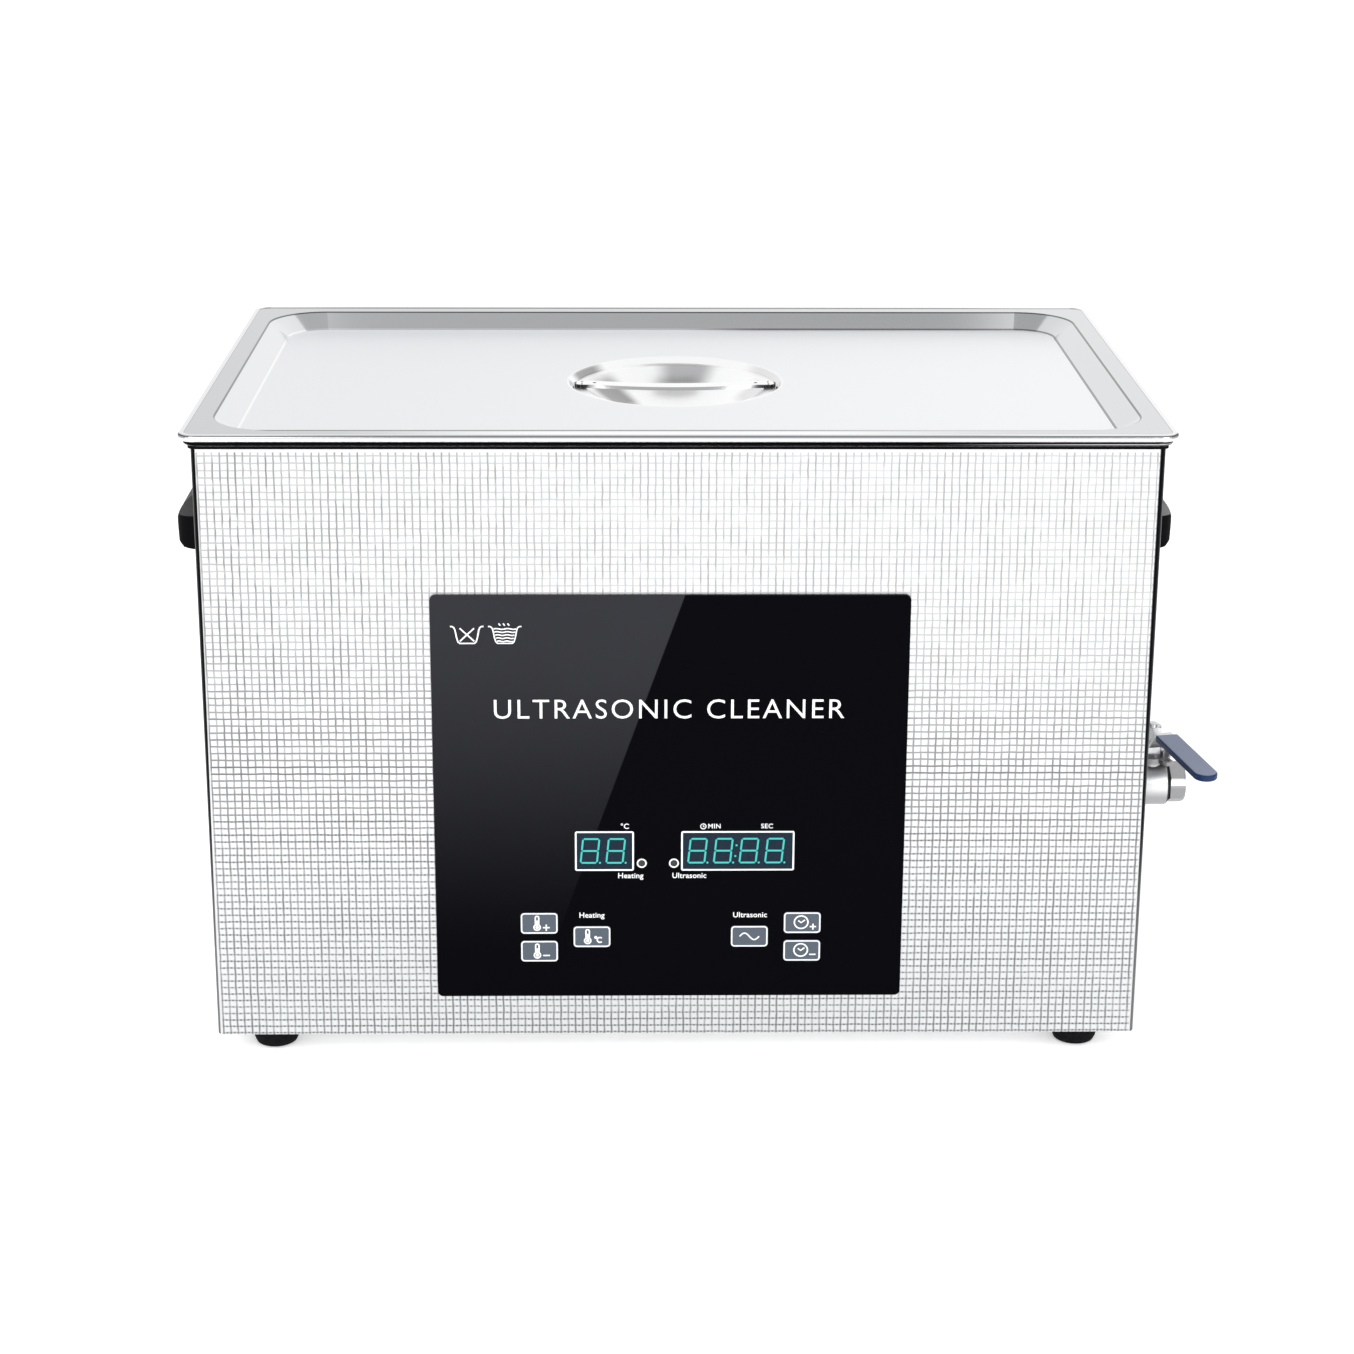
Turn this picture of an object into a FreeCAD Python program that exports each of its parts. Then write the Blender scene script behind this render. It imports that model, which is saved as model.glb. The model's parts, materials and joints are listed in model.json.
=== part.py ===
"""Bench-top ultrasonic cleaner of the 30 litre class, as separate pieces.

Millimetres, +Z up. The origin is on the table, under the middle of the casing.
The control panel faces -Y and the drain valve is on the +X side.
"""
import FreeCAD, Part
import math
import os

# ---------------------------------------------------------------- driving dimensions
FOOT_H = 15.0                # table to underside of the casing
FOOT_R, FOOT_SOLE_R, FOOT_RECESS_R, FOOT_BORE_R = 13.0, 9.6, 5.2, 2.7
FOOT_INSET_X, FOOT_INSET_Y = 30.0, 24.0
CASING_W, CASING_D, CASING_H = 517.0, 314.0, 341.0
SHEET = 1.0                  # casing sheet
CASING_CORNER_R = 3.5
CASING_LIP = 5.5             # inward lip round the top of the casing
REAR_FLANGE = 15.0           # what the rear wall keeps round its opening

SEAL_H = 2.2                 # black seal between casing and tank rim
TANK_W, TANK_D, TANK_DEPTH = 500.0, 300.0, 200.0    # inside the tank
TANK_T = 1.2
TANK_CORNER_R = 30.0
TANK_FLOOR_R = 10.0
RIM_W, RIM_D, RIM_CORNER_R = 525.0, 323.0, 9.0
RIM_BEAD_R = 1.15            # rolled edge of the tank rim

LID_GAP = 0.3                # lid hem above the tank rim
LID_W, LID_D, LID_CORNER_R = 530.0, 328.0, 10.0
LID_T = 0.8
LID_HEM_R = 2.1              # rolled edge of the lid
LID_BEAD_STEP = 0.6          # hem above the flat ring
LID_RING = 13.0              # width of the flat ring, hem included
LID_SLOPE_RUN = 13.5
LID_RECESS = 9.0             # flat ring down to the sunken panel
LID_RECESS_R_TOP, LID_RECESS_R_FLOOR = 33.0, 22.0

DISH_R = 62.0                # pressed grip dish in the lid
DISH_LEDGE_R = 52.0
DISH_LEDGE_DEPTH = 3.2
DISH_DEPTH = 24.0
STRAP_L, STRAP_W, STRAP_T = 117.6, 10.0, 2.0     # flat strap across the dish
STRAP_SPAN, STRAP_SAG = 94.0, 1.5                # its bowed middle part

OVERLAY_W, OVERLAY_H, OVERLAY_T, OVERLAY_R = 259.0, 236.0, 1.6, 3.0
OVERLAY_CX = -4.5            # the panel sits a little left of centre
OVERLAY_RISE = 24.0          # casing underside to the panel's lower edge
KEY_W, KEY_H, KEY_R = 21.0, 13.0, 2.0
KEY_GAP = 0.2
KEY_PROUD = 0.4
# each key: distance right of the panel's centre line, height above its lower edge
KEYS = {
    "temp_up_key": (-72.4, 44.5),
    "temp_down_key": (-72.4, 27.6),
    "heater_key": (-43.1, 36.3),
    "ultrasonic_key": (44.6, 36.3),
    "time_up_key": (74.0, 44.5),
    "time_down_key": (74.0, 27.6),
}
# each display: right of centre, height, width, height of the window
DISPLAYS = {
    "temp_display": (-36.0, 87.7, 31.0, 22.0),
    "time_display": (37.6, 87.7, 61.0, 22.0),
}
LEDS = [(-15.4, 80.4), (2.4, 80.4)]
LED_R = 1.75
SWITCH_SIZE, SWITCH_H, SWITCH_BUTTON_H = 6.0, 3.2, 0.3
KEY_SLACK = 0.2              # key plunger to switch button

HANDLE_L, HANDLE_H, HANDLE_REACH = 120.0, 40.0, 26.0
HANDLE_RISE = 254.0          # casing underside to the handle's lower edge
HANDLE_WALL, HANDLE_CHEEK, HANDLE_FLANGE_T = 3.0, 5.0, 2.2
HANDLE_SCREW_Y, HANDLE_SCREW_Z, HANDLE_SCREW_R = 46.0, 25.0, 2.5
HANDLE_BOSS_R, HANDLE_BOSS_L = 5.0, 18.0

DRAIN_RISE = 89.0            # casing underside to the drain's axis
DRAIN_TANK_X = 215.0         # drain hole in the tank floor
PIPE_R, PIPE_BORE_R = 8.3, 6.0
ELBOW_BEND_R = 20.0
VALVE_X = 291.5              # valve stem axis
BALL_R, PORT_R = 8.5, 5.0
SEAT_GAP = 0.02
OUTLET_R, OUTLET_L = 7.475, 9.0     # G 3/8 female thread, at its minor diameter
STEM_R = 4.0
SHAFT_GAP = 0.05
NECK_TOP, GLAND_TOP, LEVER_LOW, STEM_TOP = 20.5, 24.9, 25.4, 38.4    # above the flow axis
CAP_X, OUTLET_X = 301.6, 311.5      # end cap's shoulder and its outlet face
STOP_TAB_R, STOP_TAB_HALF = 10.0, 1.6
LEVER_L, LEVER_W, LEVER_T = 86.5, 10.0, 2.2
LEVER_BEND_IN, LEVER_BEND_OUT, LEVER_RISE = 8.5, 17.5, 10.4    # the arm's upward bend
LEVER_REST = 10.5            # degrees from closed, towards open
GRIP_W, GRIP_T, GRIP_START, GRIP_END_L = 14.2, 4.2, 23.0, 90.5

TRANSDUCER_XS = [-185.0, -95.0, -5.0, 85.0, 175.0]
TRANSDUCER_YS = [-75.0, 75.0]
HORN_R, PIEZO_R, PIEZO_T, ELECTRODE_T = 29.5, 23.0, 5.0, 0.4
HORN_H, BACK_MASS_H = 30.0, 20.0
BOLT_R, BOLT_HEAD_AF, BOLT_HEAD_H, BOLT_GRIP = 4.0, 13.0, 6.0, 15.0

GENERATOR_RISE = 11.2        # casing underside to the generator board
GENERATOR_BOX = (-60.0, 120.0, -62.0, 62.0)

FAN_X, FAN_RISE, FAN_SIZE, FAN_T = -120.0, 49.0, 80.0, 25.0
FAN_BORE_R, FAN_SCREW_PITCH, FAN_SHAFT_R = 38.0, 71.5, 1.5
INLET_X, INLET_RISE = 150.0, 60.0
INLET_W, INLET_H = 52.0, 66.0                    # flange of the inlet
INLET_BODY_W, INLET_BODY_H = 46.4, 60.4          # its body behind the rear panel
ROCKER_THROW = 14.0          # degrees from off to on

SCREW_R, SCREW_HEAD_R = 2.0, 3.8

# ---------------------------------------------------------------- derived levels
CASING_Z = FOOT_H
CASING_TOP = CASING_Z + CASING_H
RIM_Z = CASING_TOP + SEAL_H
RIM_TOP = RIM_Z + 2 * RIM_BEAD_R
TANK_FLOOR = RIM_TOP - TANK_DEPTH
TANK_UNDER = TANK_FLOOR - TANK_T
LID_Z = RIM_TOP + LID_GAP
LID_TOP = LID_Z + 2 * LID_HEM_R
RING_TOP = LID_TOP - LID_BEAD_STEP
LID_PANEL = RING_TOP - LID_RECESS
FRONT_Y = -CASING_D / 2
REAR_Y = CASING_D / 2
SIDE_X = CASING_W / 2
OVERLAY_Z = CASING_Z + OVERLAY_RISE
OVERLAY_FACE = FRONT_Y - OVERLAY_T
DRAIN_Z = CASING_Z + DRAIN_RISE
PIPE_END_X = SIDE_X + 14.5
VALVE_INLET_X = SIDE_X + 6.0
BOARD_FRONT = FRONT_Y + SHEET + 9.0
BOARD_T = 1.6
BOARD_HOLE_R, BOARD_HOLE_INSET = 1.6, 6.0
GENERATOR_Z = CASING_Z + GENERATOR_RISE

X, Y, Z = FreeCAD.Vector(1, 0, 0), FreeCAD.Vector(0, 1, 0), FreeCAD.Vector(0, 0, 1)
DOWN = FreeCAD.Vector(0, 0, -1)


# ---------------------------------------------------------------- shape helpers
def vec(x, y, z):
    return FreeCAD.Vector(x, y, z)


def block(x0, x1, y0, y1, z0, z1):
    return Part.makeBox(x1 - x0, y1 - y0, z1 - z0, vec(x0, y0, z0))


def rod(radius, start, direction, length):
    return Part.makeCylinder(radius, length, start, direction)


def tube(outer, inner, start, direction, length):
    return rod(outer, start, direction, length).cut(rod(inner, start, direction, length))


def fuse(shapes):
    return shapes[0].multiFuse(shapes[1:]).removeSplitter()


def cut(shape, tools):
    for tool in tools:
        shape = shape.cut(tool)
    return shape


def rect_wire(width, depth, radius, z):
    """A rectangle with round corners, level at height z, centred on the Z axis."""
    half_w, half_d = width / 2, depth / 2
    inner_w, inner_d = half_w - radius, half_d - radius
    edges = []
    corners = [(inner_w, inner_d, 0), (-inner_w, inner_d, 90),
               (-inner_w, -inner_d, 180), (inner_w, -inner_d, 270)]
    arcs = [Part.makeCircle(radius, vec(cx, cy, z), Z, start, start + 90)
            for cx, cy, start in corners]
    for number, arc in enumerate(arcs):
        following = arcs[(number + 1) % 4]
        edges.append(arc)
        edges.append(Part.makeLine(arc.Vertexes[-1].Point, following.Vertexes[0].Point))
    return Part.Wire(edges)


def rect_prism(width, depth, radius, z0, z1):
    face = Part.Face(rect_wire(width, depth, radius, z0))
    return face.extrude(vec(0, 0, z1 - z0))


def rect_loft(low, high):
    """A tapered rounded block between two (width, depth, radius, z) outlines."""
    return Part.makeLoft([rect_wire(*low), rect_wire(*high)], True, True)


def upright_plate(x, z, width, height, radius, y0, y1):
    """A rounded plate parallel to the front face, centred on (x, z)."""
    plate = rect_prism(width, height, radius, 0, y1 - y0)
    plate.rotate(vec(0, 0, 0), X, 90)
    plate.translate(vec(x, y1, z))
    return plate


def hexagon(across_flats, start, direction, length):
    radius = across_flats / math.sqrt(3)
    points = [vec(radius * math.cos(math.radians(60 * k)),
                  radius * math.sin(math.radians(60 * k)), 0) for k in range(7)]
    prism = Part.Face(Part.makePolygon(points)).extrude(vec(0, 0, length))
    prism.Placement = FreeCAD.Placement(start, FreeCAD.Rotation(Z, direction))
    return prism


def chamfered_hexagon(across_flats, start, direction, length):
    """A hexagon whose outer end is turned down, as on a nut."""
    across_corners = across_flats / math.cos(math.radians(30))
    turned = Part.makeCone(across_corners / 2 + length - 1.0, across_flats / 2 * 0.97,
                           length + 0.0001, start, direction)
    return hexagon(across_flats, start, direction, length).common(turned)


def spin(points, axis_point, axis):
    """A solid of revolution from a closed outline."""
    face = Part.Face(Part.makePolygon(points + [points[0]]))
    return face.revolve(axis_point, axis, 360)


def around_rectangle(profile, width, depth, radius):
    """Carry a profile round a rounded rectangle.

    profile(offset) gives a face in the XZ plane, at x = offset from the outline's edge.
    """
    half_w, half_d = width / 2, depth / 2
    pieces = []
    long_side = profile(half_w)
    long_side.translate(vec(0, -half_d + radius, 0))
    long_side = long_side.extrude(vec(0, depth - 2 * radius, 0))
    corner = profile(radius).revolve(vec(0, 0, 0), Z, 90)
    corner.translate(vec(half_w - radius, half_d - radius, 0))
    short_side = profile(half_d)
    short_side.translate(vec(0, -half_w + radius, 0))
    short_side = short_side.extrude(vec(0, width - 2 * radius, 0))
    short_side.rotate(vec(0, 0, 0), Z, 90)
    for shape in (long_side, corner, short_side):
        other = shape.copy()
        other.rotate(vec(0, 0, 0), Z, 180)
        pieces += [shape, other]
    second = profile(radius).revolve(vec(0, 0, 0), Z, 90)
    second.rotate(vec(0, 0, 0), Z, 90)
    second.translate(vec(-half_w + radius, half_d - radius, 0))
    opposite = second.copy()
    opposite.rotate(vec(0, 0, 0), Z, 180)
    return fuse(pieces + [second, opposite])


def rolled_edge(outer_r, sheet, centre_z):
    """The C-shaped section of a rolled sheet edge, open on its inner lower side."""
    def profile(edge):
        centre = vec(edge - outer_r, 0, centre_z)
        disc = Part.Face(Part.Wire(Part.makeCircle(outer_r, centre, vec(0, -1, 0))))
        hollow = Part.Face(Part.Wire(Part.makeCircle(outer_r - sheet, centre, vec(0, -1, 0))))
        mouth = Part.makePlane(outer_r * 1.5, outer_r * 0.5, vec(0, 0, 0), vec(0, -1, 0))
        mouth.translate(vec(centre.x - outer_r * 1.5, 0, centre_z - outer_r * 0.6))
        return disc.cut(hollow).cut(mouth).Faces[0]
    return profile


def pan_screw(tip, direction, length, radius=SCREW_R, head_r=SCREW_HEAD_R):
    """A pan-head screw: tip of the shank, direction towards the head, shank length."""
    head_at = tip + direction * length
    head_h = head_r * 0.55
    head = Part.makeCone(head_r, head_r * 0.78, head_h, head_at, direction)
    slot_at = head_at + direction * (head_h * 0.5)
    recess = hexagon(radius * 1.4, slot_at, direction, head_h)
    return fuse([rod(radius, tip, direction, length), head]).cut(recess)


NODES = {}


def node(name, shapes):
    if not isinstance(shapes, list):
        shapes = [shapes]
    NODES[name] = shapes


# ---------------------------------------------------------------- casing
def panel_xz(right, height):
    return OVERLAY_CX + right, OVERLAY_Z + height


def front_openings(y0, y1, grow):
    """The holes for keys, displays and lamps, through a layer of the front."""
    tools = []
    for right, height in KEYS.values():
        x, z = panel_xz(right, height)
        tools.append(upright_plate(x, z, KEY_W + 2 * grow, KEY_H + 2 * grow, KEY_R + grow, y0, y1))
    for right, height, width, tall in DISPLAYS.values():
        x, z = panel_xz(right, height)
        tools.append(upright_plate(x, z, width + 2 * grow, tall + 2 * grow, 0.5 + grow, y0, y1))
    for right, height in LEDS:
        x, z = panel_xz(right, height)
        tools.append(rod(LED_R + grow, vec(x, y0, z), Y, y1 - y0))
    return tools


def handle_screw_places():
    z = CASING_Z + HANDLE_RISE + HANDLE_SCREW_Z
    return [(side, y, z) for side in (-1, 1) for y in (-HANDLE_SCREW_Y, HANDLE_SCREW_Y)]


def rear_screw_places():
    """Screws round the rear panel, on the casing's rear flanges."""
    x = SIDE_X - REAR_FLANGE / 2
    side_zs = [CASING_Z + CASING_H * part for part in (0.12, 0.5, 0.88)]
    places = [(side * x, z) for side in (-1, 1) for z in side_zs]
    top_z = CASING_TOP - REAR_FLANGE / 2
    return places + [(side * CASING_W / 4, top_z) for side in (-1, 1)]


def make_casing():
    inner_w, inner_d = CASING_W - 2 * SHEET, CASING_D - 2 * SHEET
    shell = rect_prism(CASING_W, CASING_D, CASING_CORNER_R, CASING_Z, CASING_TOP)
    hollow = rect_prism(inner_w, inner_d, CASING_CORNER_R - SHEET, CASING_Z, CASING_TOP - SHEET)
    mouth = rect_prism(CASING_W - 2 * CASING_LIP, CASING_D - 2 * CASING_LIP,
                       TANK_CORNER_R, CASING_TOP - SHEET, CASING_TOP)
    rear = block(-SIDE_X + REAR_FLANGE, SIDE_X - REAR_FLANGE, REAR_Y - 2 * SHEET, REAR_Y + 1,
                 CASING_Z - 1, CASING_TOP - REAR_FLANGE)
    shell = cut(shell, [hollow, mouth, rear])
    shell = cut(shell, front_openings(FRONT_Y - 1, FRONT_Y + 2 * SHEET, 0.5))
    drain = rod(PIPE_R + 0.3, vec(SIDE_X - 5, 0, DRAIN_Z), X, 10)
    handle_holes = [rod(HANDLE_SCREW_R + 0.2, vec(side * SIDE_X - 5, y, z), X, 10)
                    for side, y, z in handle_screw_places()]
    screw_holes = [rod(SCREW_R + 0.2, vec(x, REAR_Y - 5, z), Y, 10)
                   for x, z in rear_screw_places()]
    node("outer_casing", cut(shell, [drain] + handle_holes + screw_holes))


def make_rear_panel():
    y1 = REAR_Y - SHEET
    y0 = y1 - SHEET
    plate = block(-SIDE_X + 4, SIDE_X - 4, y0, y1, CASING_Z + SHEET, CASING_TOP - 4)
    fan_hole = rod(FAN_BORE_R, vec(FAN_X, y0 - 1, CASING_Z + FAN_RISE), Y, 4)
    half_w, half_h = INLET_BODY_W / 2 + 0.3, INLET_BODY_H / 2 + 0.3
    inlet_z = CASING_Z + INLET_RISE
    inlet_hole = block(INLET_X - half_w, INLET_X + half_w, y0 - 1, y1 + 1,
                       inlet_z - half_h, inlet_z + half_h)
    screws = [rod(SCREW_R, vec(x, y0 - 1, z), Y, 4) for x, z in rear_screw_places()]
    corners = [rod(SCREW_R + 0.2, vec(x, y0 - 1, z), Y, 4) for x, z in fan_screw_places()]
    slots = []
    for row in range(5):
        for side in (-1, 0, 1):
            x = side * 120.0
            z = CASING_Z + 230.0 + row * 12.0
            slots.append(upright_plate(x, z, 70.0, 4.0, 1.9, y0 - 1, y1 + 1))
    node("rear_panel", cut(plate, [fan_hole, inlet_hole] + screws + corners + slots))
    node("rear_panel_screws", [pan_screw(vec(x, y0 - 3, z), Y, y1 + SHEET - (y0 - 3))
                               for x, z in rear_screw_places()])


def foot_places():
    x, y = SIDE_X - FOOT_INSET_X, REAR_Y - FOOT_INSET_Y
    return {"front_left": (-x, -y), "front_right": (x, -y),
            "rear_left": (-x, y), "rear_right": (x, y)}


def make_base_plate():
    """A shallow tray inside the casing: upturned on three sides, open to the rear panel."""
    width, depth = CASING_W - 2 * SHEET, CASING_D - 2 * SHEET
    wall, upturn = 1.2, 14.0
    tray = rect_prism(width, depth, CASING_CORNER_R - SHEET, CASING_Z, CASING_Z + upturn)
    hollow = block(-width / 2 + wall, width / 2 - wall, -depth / 2 + wall, depth / 2,
                   CASING_Z + wall, CASING_Z + upturn + 1)
    rear_gap = block(-width, width, depth / 2 - SHEET, depth, CASING_Z + SHEET,
                     CASING_Z + upturn + 1)
    holes = [rod(FOOT_BORE_R, vec(x, y, CASING_Z - 1), Z, 5) for x, y in foot_places().values()]
    slots = []
    for row in range(7):
        for side in (-1, 1):
            slot = rect_prism(46.0, 4.0, 1.9, CASING_Z - 1, CASING_Z + 3)
            slot.translate(vec(side * 120.0, (row - 3) * 14.0, 0))
            slots.append(slot)
    node("base_plate", cut(tray, [hollow, rear_gap] + holes + slots))


def make_feet():
    screw_seat = 6.5
    screws = []
    for name, (x, y) in foot_places().items():
        outline = [vec(FOOT_RECESS_R, 0, 0), vec(FOOT_SOLE_R, 0, 0), vec(FOOT_R - 1.4, 0, 1.0),
                   vec(FOOT_R - 0.3, 0, 3.6), vec(FOOT_R, 0, 7.0), vec(FOOT_R, 0, FOOT_H),
                   vec(FOOT_BORE_R, 0, FOOT_H), vec(FOOT_BORE_R, 0, screw_seat),
                   vec(FOOT_RECESS_R, 0, screw_seat)]
        foot = spin(outline, vec(0, 0, 0), Z)
        foot.translate(vec(x, y, 0))
        node("foot_" + name, foot)
        tip = vec(x, y, FOOT_H + 7)
        screws.append(pan_screw(tip, DOWN, tip.z - screw_seat, 2.5, 4.6))
    node("foot_screws", screws)


# ---------------------------------------------------------------- tank and lid
def make_tank():
    height = RIM_Z + TANK_T - TANK_FLOOR
    inner = rect_prism(TANK_W, TANK_D, TANK_CORNER_R, TANK_FLOOR, TANK_FLOOR + height + 5)
    outer = rect_prism(TANK_W + 2 * TANK_T, TANK_D + 2 * TANK_T, TANK_CORNER_R + TANK_T,
                       TANK_UNDER, RIM_Z + TANK_T)
    inner = inner.makeFillet(TANK_FLOOR_R, floor_edges(inner, TANK_FLOOR))
    outer = outer.makeFillet(TANK_FLOOR_R + TANK_T, floor_edges(outer, TANK_UNDER))
    flange = rect_prism(RIM_W - 2 * RIM_BEAD_R, RIM_D - 2 * RIM_BEAD_R, RIM_CORNER_R - RIM_BEAD_R,
                        RIM_Z, RIM_Z + TANK_T)
    drain = rod(PIPE_BORE_R, vec(DRAIN_TANK_X, 0, TANK_UNDER - 1), Z, 5)
    shell = cut(fuse([outer, flange]), [inner, drain])

    def bead_profile(edge):
        centre = vec(edge - RIM_BEAD_R, 0, RIM_Z + RIM_BEAD_R)
        return Part.Face(Part.Wire(Part.makeCircle(RIM_BEAD_R, centre, vec(0, -1, 0))))

    bead = around_rectangle(bead_profile, RIM_W, RIM_D, RIM_CORNER_R)
    node("tank", fuse([shell, bead]))

    seal = rect_prism(CASING_W + 3.0, CASING_D + 3.0, 5.0, CASING_TOP, RIM_Z)
    opening = rect_prism(TANK_W + 2 * TANK_T + 1.6, TANK_D + 2 * TANK_T + 1.2,
                         TANK_CORNER_R, CASING_TOP, RIM_Z)
    node("rim_seal", seal.cut(opening))


def floor_edges(shape, z):
    return [edge for edge in shape.Edges
            if abs(edge.BoundBox.ZMin - z) < 1e-6 and abs(edge.BoundBox.ZMax - z) < 1e-6]


def make_lid():
    under_panel = LID_PANEL - LID_T
    top_w, top_d = LID_W - 2 * LID_RING, LID_D - 2 * LID_RING
    low_w, low_d = top_w - 2 * LID_SLOPE_RUN, top_d - 2 * LID_SLOPE_RUN
    outer = rect_loft((low_w, low_d, LID_RECESS_R_FLOOR, under_panel),
                      (top_w, top_d, LID_RECESS_R_TOP, RING_TOP))
    hollow = rect_loft((low_w - LID_T, low_d - LID_T, LID_RECESS_R_FLOOR, LID_PANEL),
                       (top_w - 2 * LID_T, top_d - 2 * LID_T, LID_RECESS_R_TOP, RING_TOP + 0.001))
    ring = rect_prism(LID_W - 2 * LID_HEM_R, LID_D - 2 * LID_HEM_R, LID_CORNER_R - LID_HEM_R,
                      RING_TOP - LID_T, RING_TOP)
    tray = cut(fuse([ring, outer]), [hollow])
    hem = around_rectangle(rolled_edge(LID_HEM_R, LID_T, LID_Z + LID_HEM_R),
                           LID_W, LID_D, LID_CORNER_R)
    tray = tray.cut(rod(DISH_R + 1.0, vec(0, 0, under_panel - 1), Z, LID_T + 2))
    node("lid", fuse([tray, hem, make_dish()]))


def make_dish():
    """The round grip dish: a narrow ledge, then a bowl whose floor is part of a sphere."""
    ledge = LID_PANEL - DISH_LEDGE_DEPTH
    floor = LID_PANEL - DISH_DEPTH
    shoulder_r = DISH_R - 3.0
    rim_r = DISH_R + 1.0
    mid = 0.62                          # where the bowl's arc is pinned, as a share of its radius
    upper = [vec(rim_r, 0, LID_PANEL), vec(DISH_R, 0, LID_PANEL), vec(shoulder_r, 0, ledge),
             vec(DISH_LEDGE_R, 0, ledge)]
    lower = [vec(DISH_LEDGE_R - LID_T * 0.5, 0, ledge - LID_T),
             vec(shoulder_r + LID_T * 0.5, 0, ledge - LID_T),
             vec(DISH_R + LID_T * 0.3, 0, LID_PANEL - LID_T), vec(rim_r, 0, LID_PANEL - LID_T)]
    bowl_top = Part.Arc(upper[-1], vec(DISH_LEDGE_R * mid, 0, bowl_level(mid, 0)),
                        vec(0, 0, floor)).toShape()
    bowl_under = Part.Arc(vec(0, 0, floor - LID_T),
                          vec(DISH_LEDGE_R * mid, 0, bowl_level(mid, LID_T)), lower[0]).toShape()
    edges = [Part.makeLine(a, b) for a, b in zip(upper, upper[1:])] + [bowl_top]
    edges += [Part.makeLine(vec(0, 0, floor), vec(0, 0, floor - LID_T)), bowl_under]
    edges += [Part.makeLine(a, b) for a, b in zip(lower, lower[1:])]
    edges.append(Part.makeLine(lower[-1], upper[0]))
    return Part.Face(Part.Wire(edges)).revolve(vec(0, 0, 0), Z, 360)


def bowl_level(share, drop):
    """Level of the bowl at a share of its radius: a sphere through its edge and floor."""
    depth = DISH_DEPTH - DISH_LEDGE_DEPTH
    sphere_r = (DISH_LEDGE_R ** 2 + depth ** 2) / (2 * depth)
    radius = DISH_LEDGE_R * share
    rise = sphere_r - math.sqrt(sphere_r ** 2 - radius ** 2)
    return LID_PANEL - DISH_DEPTH + rise - drop


def make_lid_handle():
    """A flat strap lying on the dish's ledge, bowed down a little between two weld dimples."""
    ledge = LID_PANEL - DISH_LEDGE_DEPTH
    half, span = STRAP_L / 2, STRAP_SPAN / 2
    edges = [Part.makeLine(vec(-half, 0, ledge), vec(-span, 0, ledge)),
             Part.Arc(vec(-span, 0, ledge), vec(0, 0, ledge - STRAP_SAG),
                      vec(span, 0, ledge)).toShape(),
             Part.makeLine(vec(span, 0, ledge), vec(half, 0, ledge)),
             Part.makeLine(vec(half, 0, ledge), vec(half, 0, ledge + STRAP_T)),
             Part.makeLine(vec(half, 0, ledge + STRAP_T), vec(span, 0, ledge + STRAP_T)),
             Part.Arc(vec(span, 0, ledge + STRAP_T), vec(0, 0, ledge + STRAP_T - STRAP_SAG),
                      vec(-span, 0, ledge + STRAP_T)).toShape(),
             Part.makeLine(vec(-span, 0, ledge + STRAP_T), vec(-half, 0, ledge + STRAP_T)),
             Part.makeLine(vec(-half, 0, ledge + STRAP_T), vec(-half, 0, ledge))]
    strap = Part.Face(Part.Wire(edges)).extrude(vec(0, STRAP_W, 0))
    strap.translate(vec(0, -STRAP_W / 2, 0))
    plan = rect_prism(STRAP_L, STRAP_W, STRAP_W / 2 - 0.1, ledge - 5, ledge + 5)
    strap = strap.common(plan)
    dimples, welds = [], []
    for side in (-1, 1):
        dimples.append(rod(0.9, vec(side * span, 0, ledge + STRAP_T - 0.8), Z, 2))
        for across in (-2.6, 2.6):
            welds.append(Part.makeSphere(1.1, vec(side * (half - 4.5), across,
                                                  ledge + STRAP_T - 0.6)))
    node("lid_handle", cut(fuse([strap] + welds), dimples))


# ---------------------------------------------------------------- side handles
def handle_section(inset, low):
    """The cup handle's section, inset from its outside, down to the level low.

    X is the reach from the wall and Z the height above the handle's lower edge.
    """
    reach, height = HANDLE_REACH - inset, HANDLE_H - inset
    nose_z = height * 0.46
    dome = Part.Arc(vec(inset, 0, height), vec(reach * 0.70, 0, height * 0.80),
                    vec(reach, 0, nose_z)).toShape()
    if inset:
        corners = [vec(reach, 0, nose_z), vec(reach - 1.0, 0, low), vec(inset, 0, low)]
    else:
        corners = [vec(reach, 0, nose_z), vec(reach - 1.0, 0, 6.0), vec(reach - 4.0, 0, 3.0),
                   vec(4.0, 0, 0), vec(0, 0, low)]
    corners.append(vec(inset, 0, height))
    lines = [Part.makeLine(a, b) for a, b in zip(corners, corners[1:])]
    return Part.Face(Part.Wire([dome] + lines))


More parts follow.
